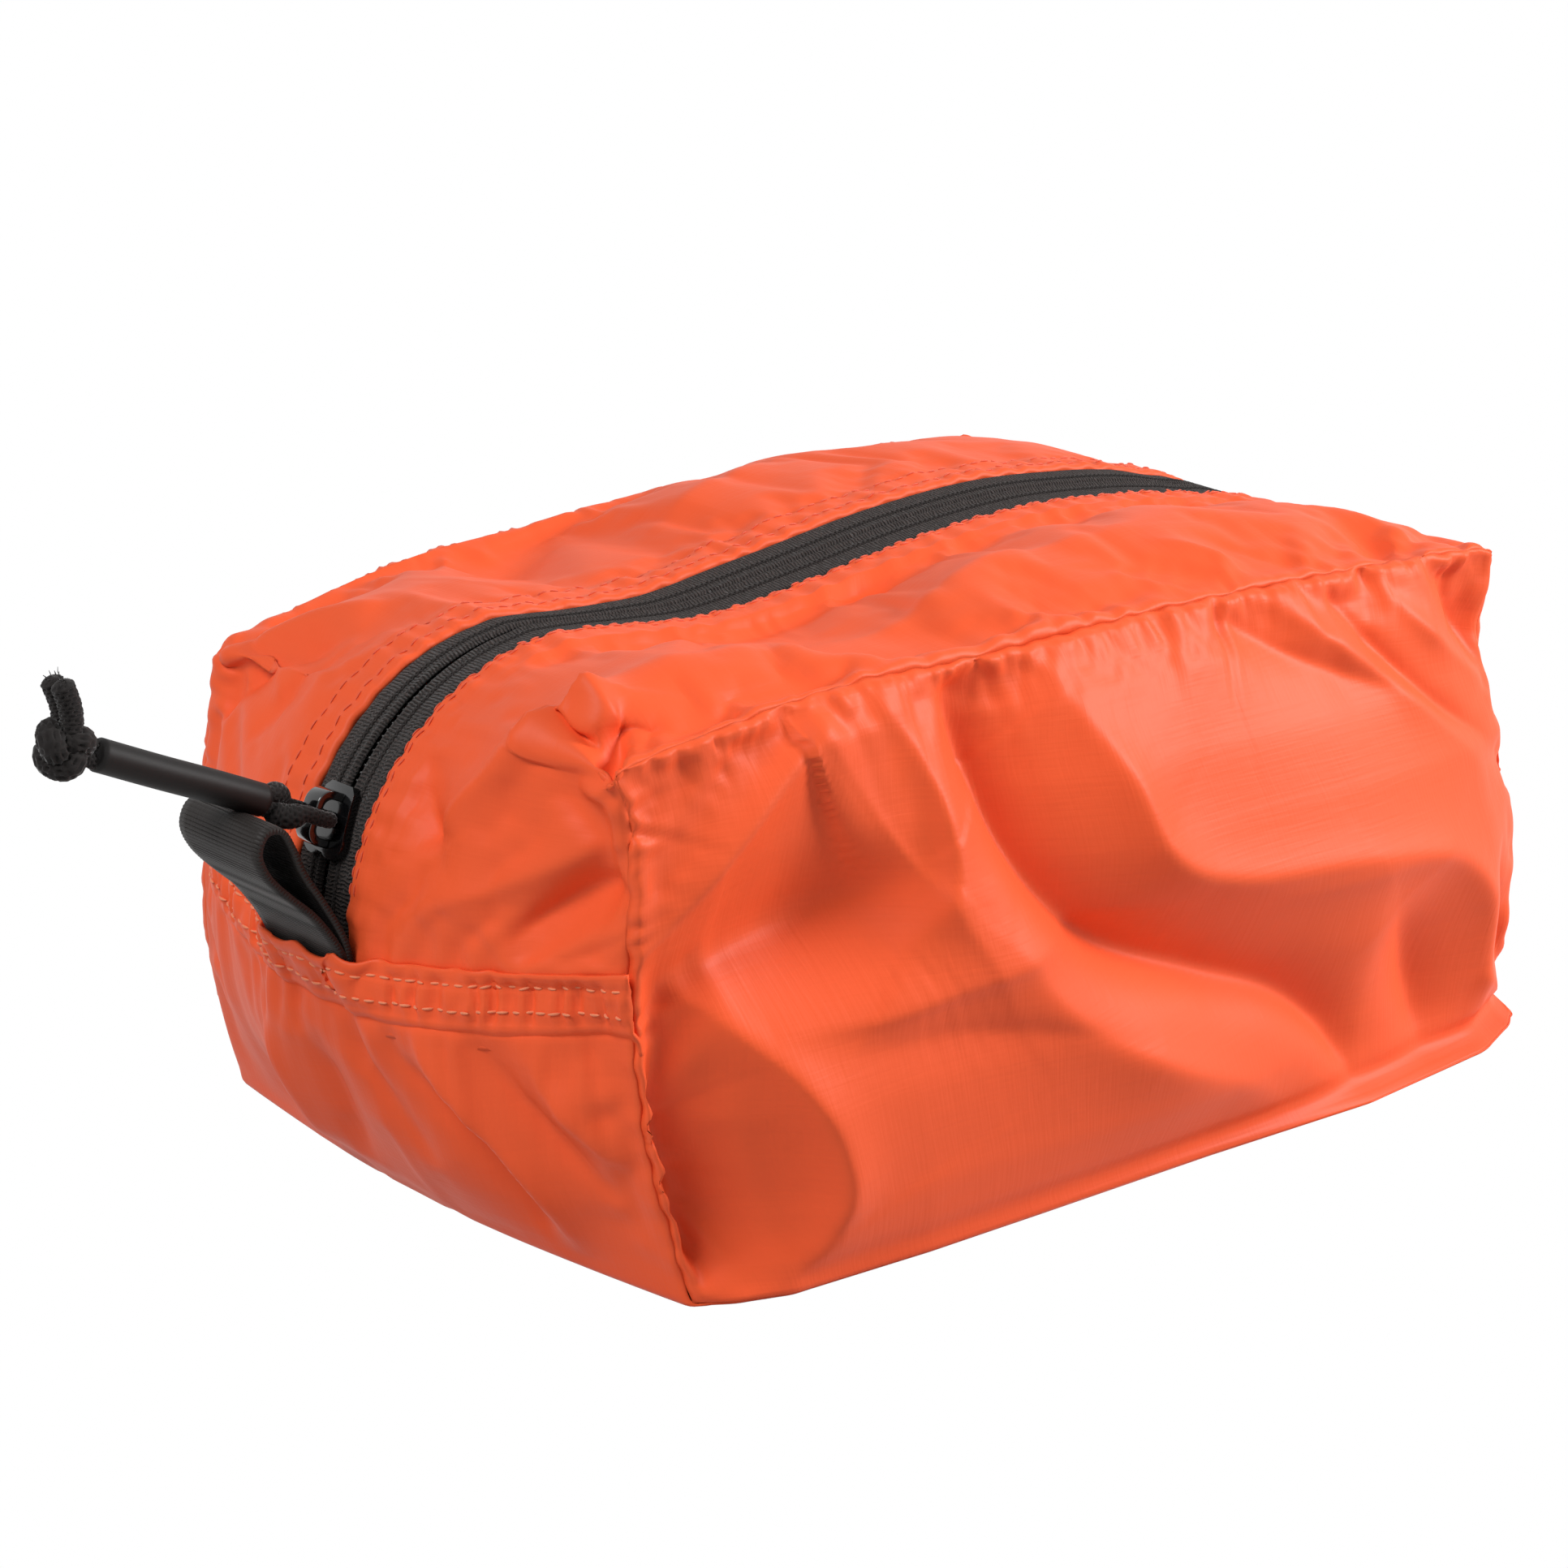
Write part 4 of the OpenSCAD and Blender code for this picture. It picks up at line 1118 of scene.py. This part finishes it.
class StuffSackSizes(bpy.types.PropertyGroup):
    """Sizes that the dressed pieces are made to"""

    cloth_thickness: length_property("Cloth", "Thickness of one layer of cloth, as shown", 0.0003)
    stitch_pitch: length_property("Stitch pitch", "Distance from one stitch to the next", 0.0025)
    stitch_length: length_property("Stitch length", "Length of thread shown per stitch", 0.0018)
    thread_diameter: length_property("Thread", "Diameter of the sewing thread", 0.00042)
    rib_pitch: length_property("Rib pitch", "Distance between the webbing's ribs", 0.00058)
    rib_height: length_property("Rib height", "Height of the webbing's ribs", 0.00012)
    cord_diameter: length_property("Cord", "Diameter of the braided cord", 0.0021)
    edge_radius: length_property("Slider edges", "Radius of the slider's cast edges", 0.00022)


class StuffSackColours(bpy.types.PropertyGroup):
    """Colours of the finishes"""

    cloth: colour_property("Cloth", "Nylon cloth", "#EE5C31")
    band_thread: colour_property("End seam thread", "Thread along the end seams", "#F08A5E")
    # The zip thread is set darker than the end seams' thread: painted shade of the grooves it lies in
    zip_thread: colour_property("Zip thread", "Thread along the zip", "#E2552E")
    tape: colour_property("Zip tape", "Woven zip tape", "#443A37")
    coil: colour_property("Zip coil", "Coil under the tape", "#2B2826")
    webbing: colour_property("Webbing", "Grosgrain tabs", "#1F1A18")
    cord: colour_property("Cord", "Braided cord", "#171312")
    sleeve: colour_property("Sleeve", "Sleeve over the cord", "#120F0E")
    slider: colour_property("Slider", "Slider and its crown", "#060607")


def sizes():
    return bpy.context.scene.stuff_sack_sizes


def colours():
    return bpy.context.scene.stuff_sack_colours


# Grids and finishes that one operator makes and later ones use
MADE = {"pieces": set()}


def finished(obj, material, body, replaced=()):
    """Gives a piece its finish and its body, and hides the CAD nodes that it stands for."""
    MADE["pieces"].add(obj.name)
    obj.data.materials.clear()
    obj.data.materials.append(material)
    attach(obj, body)
    if replaced:
        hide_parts(*replaced)
    return obj


def applied(obj, name, kind, **settings):
    """Adds a modifier with its settings and applies it."""
    modifier = obj.modifiers.new(name, kind)
    for key, value in settings.items():
        setattr(modifier, key, value)
    bpy.ops.object.select_all(action="DESELECT")
    obj.select_set(True)
    bpy.context.view_layer.objects.active = obj
    bpy.ops.object.modifier_apply(modifier=modifier.name)
    return obj


def cloth_piece(name, grid, out, thickness, material, replaced):
    """A sheet of cloth over a grid, with its drawn thickness, riding on the sack."""
    MADE[name] = grid
    obj = grid_mesh(name, grid, out > 0)
    applied(obj, "Cloth thickness", "SOLIDIFY", thickness=thickness, offset=-1.0)
    finished(obj, material, "sack", replaced)
    return obj


class SACK_OT_cloth(bpy.types.Operator):
    """Sew the five cloth pieces: start from the sack's lines, simulate the cloth, press in the
    folds and add the hems and puckers"""

    bl_idname = "stuff_sack.cloth"
    bl_label = "Cloth Panels and Gussets"

    def execute(self, context):
        ring, front, back = cloth_grids()
        ring, *panels = draped(ring, front, back)
        front, back = (calmed(after, before) for after, before in zip(panels, (front, back)))
        MADE["ring"] = ring
        nylon = MADE["nylon"] = nylon_cloth(colours().cloth)
        thick = sizes().cloth_thickness
        for name, panel, out, seed, gathered, folds in (("front", front, 1, 11, 1.0, FRONT_FOLDS),
                                                        ("back", back, -1, 23, 0.35, BACK_FOLDS)):
            fine = sewn_panel(panel, out, seed, gathered, folds)
            cloth_piece(f"{name}_cloth", fine, out, thick, nylon, [f"{name}_panel"])
        upper = ring[BAND_LEFT - 1:BAND_RIGHT + 2]
        edge = int(np.argmin(np.abs(Y_ROWS + ZIP_EDGE)))
        halves = (("front", upper[:, :edge + 1], 1, 31, 1.0, 0.7, FRONT_TOP_FOLDS, HEM_ROWS),
                  ("back", upper[:, ::-1][:, :edge + 1], -1, 47, 0.6, 0.35, BACK_TOP_FOLDS,
                   BACK_HEM_ROWS))
        for name, half, side, seed, crinkled, gathered, folds, rows in halves:
            fine = leaned(sewn_gusset(half, side, seed, crinkled, gathered, folds, rows))
            cloth_piece(f"{name}_zip_cloth", fine, side, thick, nylon,
                        [f"{name}_zip_gusset"])
        lower = np.roll(ring, -BAND_RIGHT, axis=0)[:len(ring) - BAND_RIGHT + BAND_LEFT + 1]
        cloth_piece("bottom_cloth", sewn_bottom(lower), 1, thick, nylon, ["bottom_gusset"])
        return {"FINISHED"}


class SACK_OT_end_seams(bpy.types.Operator):
    """Lay the folded end seams over the cloth, with their two rows of stitches"""

    bl_idname = "stuff_sack.end_seams"
    bl_label = "End Seams"

    def execute(self, context):
        ring = MADE["ring"]
        thread = spun_thread("Light spun polyester thread", colours().band_thread)
        ends = (("left", ring[BAND_LEFT - 4:BAND_LEFT + 1][::-1], -1, 71),
                ("right", ring[BAND_RIGHT:BAND_RIGHT + 5], 1, 73))
        for end, strip, out, seed in ends:
            fine = sewn_band(strip, out, seed)
            cloth_piece(f"{end}_end_band", fine, out, 2 * sizes().cloth_thickness,
                        MADE["nylon"], [f"{end}_end_seam"])
            if end == "left":
                places = [row_through(point, "left_end_band", 0) for point in BAND_POINTS]
            lines = [row_of(fine, 0, place) for place in places]
            rows = [(line, out * n) for line, n in lines]
            if end == "left":
                MADE.update(zip(BAND_POINTS, (refined_line(line) for line, _ in lines)))
            finished(stitches(f"{end}_band_stitches", rows), thread, "sack")
        return {"FINISHED"}


def stitch_shape():
    """One stitch, lying along X, a millimetre long and thick: a rounded bar with its ends down."""
    bpy.ops.object.select_all(action="DESELECT")
    bpy.ops.mesh.primitive_uv_sphere_add(segments=8, ring_count=6, radius=0.5,
                                         rotation=(0, math.pi / 2, 0))
    obj = bpy.context.object
    bpy.ops.object.transform_apply(rotation=True)
    co = np.array([v.co for v in obj.data.vertices])
    # Blender's own order differs from run to run
    order = np.lexsort(np.round(co, 5).T)
    rank = np.argsort(order)
    faces = sorted(rank[list(p.vertices)].tolist() for p in obj.data.polygons)
    bpy.data.objects.remove(obj)
    return co[order], faces


def stitches(name, rows, lean=0.0, pitch=None, length=None, diameter=None):
    """Stitches along rows of points and normals, all in one mesh. Each is turned by the lean away
    from its row."""
    pitch = (pitch or sizes().stitch_pitch) / MM
    length = (length or sizes().stitch_length) / MM
    diameter = (diameter or sizes().thread_diameter) / MM
    shape, shape_faces = stitch_shape()
    co, faces = [], []
    for line, n in rows:
        total = lengths_of(line)[-1]
        at = np.arange(pitch, total - pitch, pitch)
        places, ups = along_line(line, at), along_line(line, at, n)
        ahead = along_line(line, at + 0.3) - along_line(line, at - 0.3)
        for p, up, x in zip(places, ups, ahead):
            x = x / np.linalg.norm(x)
            up = up - x * (up @ x)
            up /= np.linalg.norm(up)
            y = np.cross(up, x)
            c, s = math.cos(lean), math.sin(lean)
            x, y = x * c + y * s, y * c - x * s
            bent = shape * (length, diameter, diameter)
            bent[:, 2] -= 0.5 * diameter * (2 * shape[:, 0]) ** 4
            faces += [[k + len(co) * len(shape) for k in f] for f in shape_faces]
            co.append(p + 0.12 * up + bent @ np.array([x, y, up]))
    return mesh_object(name, np.vstack(co), faces)


# In metres: the pitch, length and thread of the stitches that hold the coil, and the hems' thread
COIL_STITCH = (0.00105, 0.0013, 0.0004)
HEM_THREAD = 0.00028


class SACK_OT_zip(bpy.types.Operator):
    """Lay in the zip's two tapes with their rolled lips and coil stitching, and stitch the hems"""

    bl_idname = "stuff_sack.zip"
    bl_label = "Zip"

    def execute(self, context):
        middle = len(Y_ROWS) // 2
        line = refined(MADE["ring"][BAND_LEFT - 2:BAND_RIGHT + 3, middle - 1:middle + 2], 5)
        line = line[:, 5]
        turn = math.pi / 2 * TURN_R + 5
        tape = woven_tape(colours().tape)
        # The zip's thread is darker than the end seams' thread as painted shade of the hem's grooves
        dark = spun_thread("Dark spun polyester thread", colours().zip_thread)
        for name, side in (("front", -1), ("back", 1)):
            grid = leaned(tape_half(line, side, turn))
            obj = grid_mesh(f"{name}_tape", grid, side > 0)
            applied(obj, "Tape thickness", "SOLIDIFY", thickness=0.0005, offset=-1.0)
            finished(obj, tape, "sack", [f"{name}_zip_tape"])
            seam = row_of(grid, 1, 2.9)
            coil_row = [(seam[0], side * seam[1])]
            for lean, mark in ((0.6, "a"), (-0.6, "b")):
                row = stitches(f"{name}_coil_stitches_{mark}", coil_row, lean, *COIL_STITCH)
                finished(row, tape, "sack")
            places, front = BACK_HEM_ROWS, name == "front"
            if front:
                places = [row_through(point, "front_zip_cloth", 1, True) for point in HEM_POINTS]
            rows = [row_of(MADE[f"{name}_zip_cloth"], 1, place, True) for place in places]
            if front:
                MADE.update(zip(HEM_POINTS, (refined_line(line) for line, _ in rows)))
            rows = [(points[14:-14], -side * n[14:-14]) for points, n in rows]
            sewn = stitches(f"{name}_hem_stitches", rows, diameter=HEM_THREAD)
            finished(sewn, dark, "sack")
        coil = moulded_coil(colours().coil)
        for name, side in (("front", -1), ("back", 1)):
            finished(wound_coil(f"{name}_coil", line, side), coil, "sack",
                     [f"{name}_zip_coil"])
        return {"FINISHED"}


def wound_coil(name, line, side, pitch=1.3, wire=0.3):
    """The coil sewn under one tape: one wire wound into flat loops that reach over the middle."""
    turns = lengths_of(line)[-1] / pitch
    t = np.linspace(0, turns, int(turns * 14))
    place = along_line(line, t * pitch)
    angle = 2 * math.pi * t
    path = place + upright(place) * (-2.0 + 0.7 * np.sin(angle))[:, None]
    path[:, 1] = side * (1.6 + 1.25 * np.cos(angle))
    return tube_mesh(name, leaned(path), wire, 6)


def rounded_copy(name, node, radius):
    """A copy of a rigid CAD node with its cast edges rounded."""
    source = frame["nodes"][node]
    obj = new_object(name, source.data.copy())
    bpy.ops.object.select_all(action="DESELECT")
    obj.select_set(True)
    bpy.context.view_layer.objects.active = obj
    bpy.ops.object.mode_set(mode="EDIT")
    bpy.ops.mesh.select_all(action="SELECT")
    bpy.ops.mesh.remove_doubles(threshold=0.000004)
    bpy.ops.mesh.dissolve_limited(angle_limit=math.radians(1.5))
    bpy.ops.object.mode_set(mode="OBJECT")
    applied(obj, "Cast edges", "BEVEL", width=radius, segments=3, limit_method="ANGLE",
            angle_limit=math.radians(35), use_clamp_overlap=True)
    bpy.ops.object.shade_smooth_by_angle(angle=math.radians(30))
    return obj


class SACK_OT_slider(bpy.types.Operator):
    """Round the slider's and the crown's cast edges and lacquer them"""

    bl_idname = "stuff_sack.slider"
    bl_label = "Slider"

    def execute(self, context):
        lacquer = lacquered_zinc(colours().slider)
        for node in ("slider_body", "slider_crown"):
            obj = rounded_copy(f"cast_{node}", node, sizes().edge_radius)
            finished(obj, lacquer, "slider", [node])
        return {"FINISHED"}


# The pull's own line: out from the crown's eye, as in the CAD model
EYE = np.array([-106.562, 0, 64.215])
PULL_ANGLE = math.radians(25)
PULL_OUT = np.array([-math.cos(PULL_ANGLE), 0, math.sin(PULL_ANGLE)])
PULL_UP = np.array([math.sin(PULL_ANGLE), 0, math.cos(PULL_ANGLE)])
# The cord's run out of the eye and through the sleeve: distance from the eye, and of each strand
# from the middle
CORD_RUN = [(0, 0.9), (0.1, 1.9), (0.7, 2.75), (1.9, 3.1), (3.4, 3.1), (5.2, 3.0), (7.2, 2.3),
            (8.8, 1.6), (10.2, 1.1), (14, 1.0), (22, 1.0), (32, 1.0), (41, 1.0), (44, 1.0)]
# The cord's two tails above the knot: distance from the eye, from the middle, and rise
TAIL = [(45.5, 0.9, 1), (46.4, 1.1, 3.4), (47.4, 1.2, 5.2), (48.8, 1.3, 6.8), (50.4, 1.4, 8.4)]
KNOT_RADIUS, TAIL_RADIUS = 1.85, 1.45
# The braid's pitch, and its depth as a share of the cord's radius
BRAID = (2.6, 0.28)
SLEEVE_RADIUS = 2.45
SLEEVE_LINE = [(10.2, 0, 0), (20, 0, 0.05), (30, 0, -0.05), (41, 0, 0)]
# The strands' turn from side by side to one above the other, and where and over what it happens
TWIST, TWIST_FROM, TWIST_OVER = math.radians(70), 5.2, 4.8
# How far along the cord from its middle the loosened part starts and ends
LOOSE_FROM, LOOSE_TO = 8.2, 12.6


def on_pull(points):
    p = np.array(points, float)
    return EYE + p[:, :1] * PULL_OUT + p[:, 1:2] * (0, 1, 0) + p[:, 2:3] * PULL_UP


def knot_path():
    """The overhand knot: a trefoil drawn tight, lying square to the pull."""
    t = np.linspace(0, 2 * math.pi, 160)
    x, y, z = np.sin(t) + 2 * np.sin(2 * t), np.cos(t) - 2 * np.cos(2 * t), -np.sin(3 * t)
    return on_pull(np.stack([45.7 + 0.9 * x, 1.1 * z + 0.1 * x, 0.82 * y - 0.4], 1))


def frayed_end(name, tail, seed, count=16):
    """Loose filaments that splay out of a tail's cut end."""
    rng = np.random.default_rng(seed)
    tip, ahead = tail[-1], (tail[-1] - tail[-6]) / np.linalg.norm(tail[-1] - tail[-6])
    co, faces = [], []
    for k in range(count):
        splay = rng.normal(0, 0.35, 3)
        start = tip - 0.8 * ahead + 0.55 * splay * 2
        end = start + (ahead + 0.8 * splay) * rng.uniform(0.6, 1.1)
        mid = (start + end) / 2 + rng.normal(0, 0.15, 3)
        across = np.cross(ahead, splay)
        across *= 0.09 / np.linalg.norm(across)
        other = np.cross(ahead, across)
        rings = [[p + w * across, p - w * across + w * other, p - w * other]
                 for p, w in ((start, 1), (mid, 0.9), (end, 0.5))]
        first = sum(len(c) for c in co)
        co.append(np.array(rings).reshape(-1, 3))
        for a in (first, first + 3):
            faces += [[a + i, a + (i + 1) % 3, a + 3 + (i + 1) % 3, a + 3 + i] for i in range(3)]
        faces += [[first + 2, first + 1, first], [first + 6, first + 7, first + 8]]
    return mesh_object(name, np.vstack(co), faces, smooth=False)


def strand(side):
    """One strand of the pull's cord, from its tail to the crown's eye. The two lie one above the
    other in the sleeve and side by side where they pass through the eye."""
    rows = []
    for along, apart in CORD_RUN:
        turn = TWIST * min(max((along - TWIST_FROM) / TWIST_OVER, 0), 1)
        rows.append((along, side * apart * math.cos(turn), side * apart * math.sin(turn)))
    return rows


class SACK_OT_pull(bpy.types.Operator):
    """Braid the cord through the crown, slip on the sleeve and tie the knot"""

    bl_idname = "stuff_sack.pull"
    bl_label = "Cord Pull"

    def execute(self, context):
        cord = braided_polyester(colours().cord)
        radius = sizes().cord_diameter / MM / 2
        run = strand(1)[::-1] + [(-0.1, 0, 0)] + strand(-1)
        path = line_through(on_pull(run), 640)
        middle, knit = lengths_of(path)[-1] / 2, braid(radius, 10, *BRAID)

        def loosened(s, a):
            """The braid spreads where the cord runs free, from the crown's eye to the sleeve."""
            out = np.abs(s - middle)
            free = rise(out, LOOSE_FROM, 0.3) * rise(-out, -LOOSE_TO, 0.3)
            return knit(s, a) * (1 + 0.5 * free)

        def shrunk(s, a):
            """The sleeve's radius: a slight waver, and lips at its ends."""
            lips = 0.06 * np.exp(-np.minimum(s, s.max() - s) / 0.5)
            return SLEEVE_RADIUS + 0.05 * np.sin(s / 3.1) * np.cos(a) + lips

        obj = tube_mesh("braided_cord", path, loosened, 32)
        finished(obj, cord, "pull", ["pull_cord"])
        knot = tube_mesh("tied_knot", knot_path(), braid(KNOT_RADIUS, 12, *BRAID), 36)
        finished(knot, cord, "pull", ["pull_knot"])
        for end, side in (("front", -1), ("back", 1)):
            line = line_through(on_pull([(a, side * b, c) for a, b, c in TAIL]), 90)
            tail = tube_mesh(f"{end}_cord_tail", line, braid(TAIL_RADIUS, 10, *BRAID), 28)
            finished(tail, cord, "pull")
            finished(frayed_end(f"{end}_frayed_end", line, 80 + side), cord, "pull")
        reach = line_through(on_pull(SLEEVE_LINE), 60)
        sleeve = tube_mesh("shrunk_sleeve", reach, shrunk, 40)
        finished(sleeve, shrunk_tubing(colours().sleeve), "pull", ["pull_sleeve"])
        MADE.update({"sleeve inner end": reach[:1], "sleeve outer end": reach[-1:]})
        return {"FINISHED"}


# The left tab's webbing seen from the side, as x and z: out of the end seam, round the fold and
# back
TAB_LINE = [(-109.8, 43.0), (-110.2, 45.5), (-112.2, 49.3), (-115.4, 53.6), (-119.4, 57.4),
            (-122.6, 61.0), (-124.0, 64.6), (-122.6, 67.6), (-119.8, 67.4), (-117.9, 64.2),
            (-116.4, 60.4), (-113.6, 55.8), (-111.2, 51.6), (-109.6, 48.0), (-108.9, 44.0)]


def webbing_tab(name, flip):
    """A loop of ribbed webbing, as wide as the CAD tab, for one end of the sack."""
    line = line_through([(x, 0, z) for x, z in TAB_LINE], 520)
    low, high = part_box("left_tab")
    s = lengths_of(line)
    ribs = (sizes().rib_height / MM) * np.abs(np.sin(math.pi * s / (sizes().rib_pitch / MM)))
    widths = np.linspace(low.y, high.y, 13) / MM
    edge = hump(np.abs(widths) - 10, 0.5)
    grid = line[:, None] - (ribs[:, None] + 0.12 * edge[None])[..., None] * upright(line)[:, None]
    grid[..., 1] = widths[None]
    if flip:
        grid[..., 0] *= -1
    obj = grid_mesh(name, grid, not flip)
    applied(obj, "Webbing thickness", "SOLIDIFY", thickness=0.0009, offset=0.0)
    return obj, s[-1]


class SACK_OT_tabs(bpy.types.Operator):
    """Fold the webbing tabs and sew them into the end seams"""

    bl_idname = "stuff_sack.tabs"
    bl_label = "Webbing Tabs"

    def execute(self, context):
        webbing = grosgrain(colours().webbing)
        for end, flip in (("left", False), ("right", True)):
            obj, length = webbing_tab(f"{end}_webbing_loop", flip)
            MADE["pieces"].add(obj.name)
            obj.data.materials.append(webbing)
            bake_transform(obj)
            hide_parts(f"{end}_tab")
        return {"FINISHED"}


class SACK_OT_stage(bpy.types.Operator):
    """Set up the floor, the soft studio light and the camera at the photograph's angle"""

    bl_idname = "stuff_sack.stage"
    bl_label = "Stage"

    def execute(self, context):
        scene = context.scene
        bpy.ops.mesh.primitive_plane_add(size=6)
        floor = context.object
        floor.name = "studio_floor"
        floor.data.materials.append(floor_paper())
        scene.world = white_studio()
        lamp("key_light", (0.66, -0.56, 0.50), size=0.3, watts=9.8)
        lamp("side_light", (-0.90, -0.10, 1.00), size=0.5, watts=12)
        camera = bpy.data.cameras.new("camera")
        camera.lens, camera.sensor_width, camera.sensor_fit = CAMERA_LENS, CAMERA_SENSOR, "AUTO"
        camera.clip_start = 0.01
        holder = new_object("camera", camera)
        across = math.cos(CAMERA_ELEVATION)
        back = Vector((math.sin(CAMERA_AZIMUTH) * across, -math.cos(CAMERA_AZIMUTH) * across,
                       math.sin(CAMERA_ELEVATION)))
        holder.location = CAMERA_AIM + CAMERA_DISTANCE * back
        holder.rotation_euler = back.to_track_quat("Z", "Y").to_euler()
        scene.camera = holder
        scene.view_settings.view_transform = "Standard"
        return {"FINISHED"}


def seen_directly(tree):
    """1 for rays from the camera, a mirror or glass, and 0 for those that light the object."""
    path = add(tree, "ShaderNodeLightPath").outputs
    return maths(tree, "MAXIMUM", path["Is Camera Ray"],
                 maths(tree, "MAXIMUM", path["Is Glossy Ray"], path["Is Transmission Ray"]))


def floor_paper():
    """White seamless paper: a matt floor to the light, and plain white where it is seen."""
    material, tree, shader = new_material("White paper", Roughness=0.9)
    shader.inputs["Base Color"].default_value = (0.5, 0.5, 0.5, 1)
    white = add(tree, "ShaderNodeEmission", {"Strength": 1.0})
    mix = add(tree, "ShaderNodeMixShader", {0: seen_directly(tree), 1: shader.outputs[0],
                                            2: white.outputs[0]})
    tree.links.new(mix.outputs[0], tree.nodes["Material Output"].inputs["Surface"])
    return material


# The world's strength as light, and how much brighter it is where it is seen
STUDIO_LIGHT, SEEN_BRIGHTER = 0.13, 0.84


def white_studio():
    """A white world: near white where it shows, and a dim plain level where it lights the
    object."""
    world = bpy.data.worlds.new("studio")
    world.use_nodes = True
    tree = world.node_tree
    strength = maths(tree, "MULTIPLY_ADD", seen_directly(tree), SEEN_BRIGHTER)
    strength.node.inputs[2].default_value = STUDIO_LIGHT
    background = tree.nodes["Background"]
    background.inputs["Color"].default_value = (1, 1, 1, 1)
    tree.links.new(strength, background.inputs["Strength"])
    return world


def lamp(name, place, size, watts):
    light = bpy.data.lights.new(name, "AREA")
    light.size, light.energy = size, watts
    holder = new_object(name, light)
    holder.location = place
    holder.rotation_euler = (Vector(place) - CAMERA_AIM).to_track_quat("Z", "Y").to_euler()


class SACK_PT_panel(bpy.types.Panel):
    """Lists the stuff sack's steps in the 3D view's sidebar"""

    bl_idname = "SACK_PT_panel"
    bl_label = "Stuff Sack"
    bl_space_type = "VIEW_3D"
    bl_region_type = "UI"
    bl_category = "Stuff Sack"

    def draw(self, context):
        for group in (context.scene.stuff_sack_sizes, context.scene.stuff_sack_colours):
            for name in group.__annotations__:
                self.layout.prop(group, name)
        for step in STEPS:
            self.layout.operator(step.bl_idname)


STEPS = (SACK_OT_stage, SACK_OT_cloth, SACK_OT_end_seams, SACK_OT_zip, SACK_OT_slider,
         SACK_OT_pull, SACK_OT_tabs)
CLASSES = (StuffSackSizes, StuffSackColours, *STEPS, SACK_PT_panel)


def register():
    for cls in CLASSES:
        bpy.utils.register_class(cls)
    bpy.types.Scene.stuff_sack_sizes = bpy.props.PointerProperty(type=StuffSackSizes)
    bpy.types.Scene.stuff_sack_colours = bpy.props.PointerProperty(type=StuffSackColours)


def unregister():
    del bpy.types.Scene.stuff_sack_colours
    del bpy.types.Scene.stuff_sack_sizes
    for cls in reversed(CLASSES):
        bpy.utils.unregister_class(cls)


def main():
    register()
    for step in STEPS:
        group, name = step.bl_idname.split(".")
        getattr(getattr(bpy.ops, group), name)()
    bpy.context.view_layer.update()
    image_report()


if __name__ == "__main__":
    main()
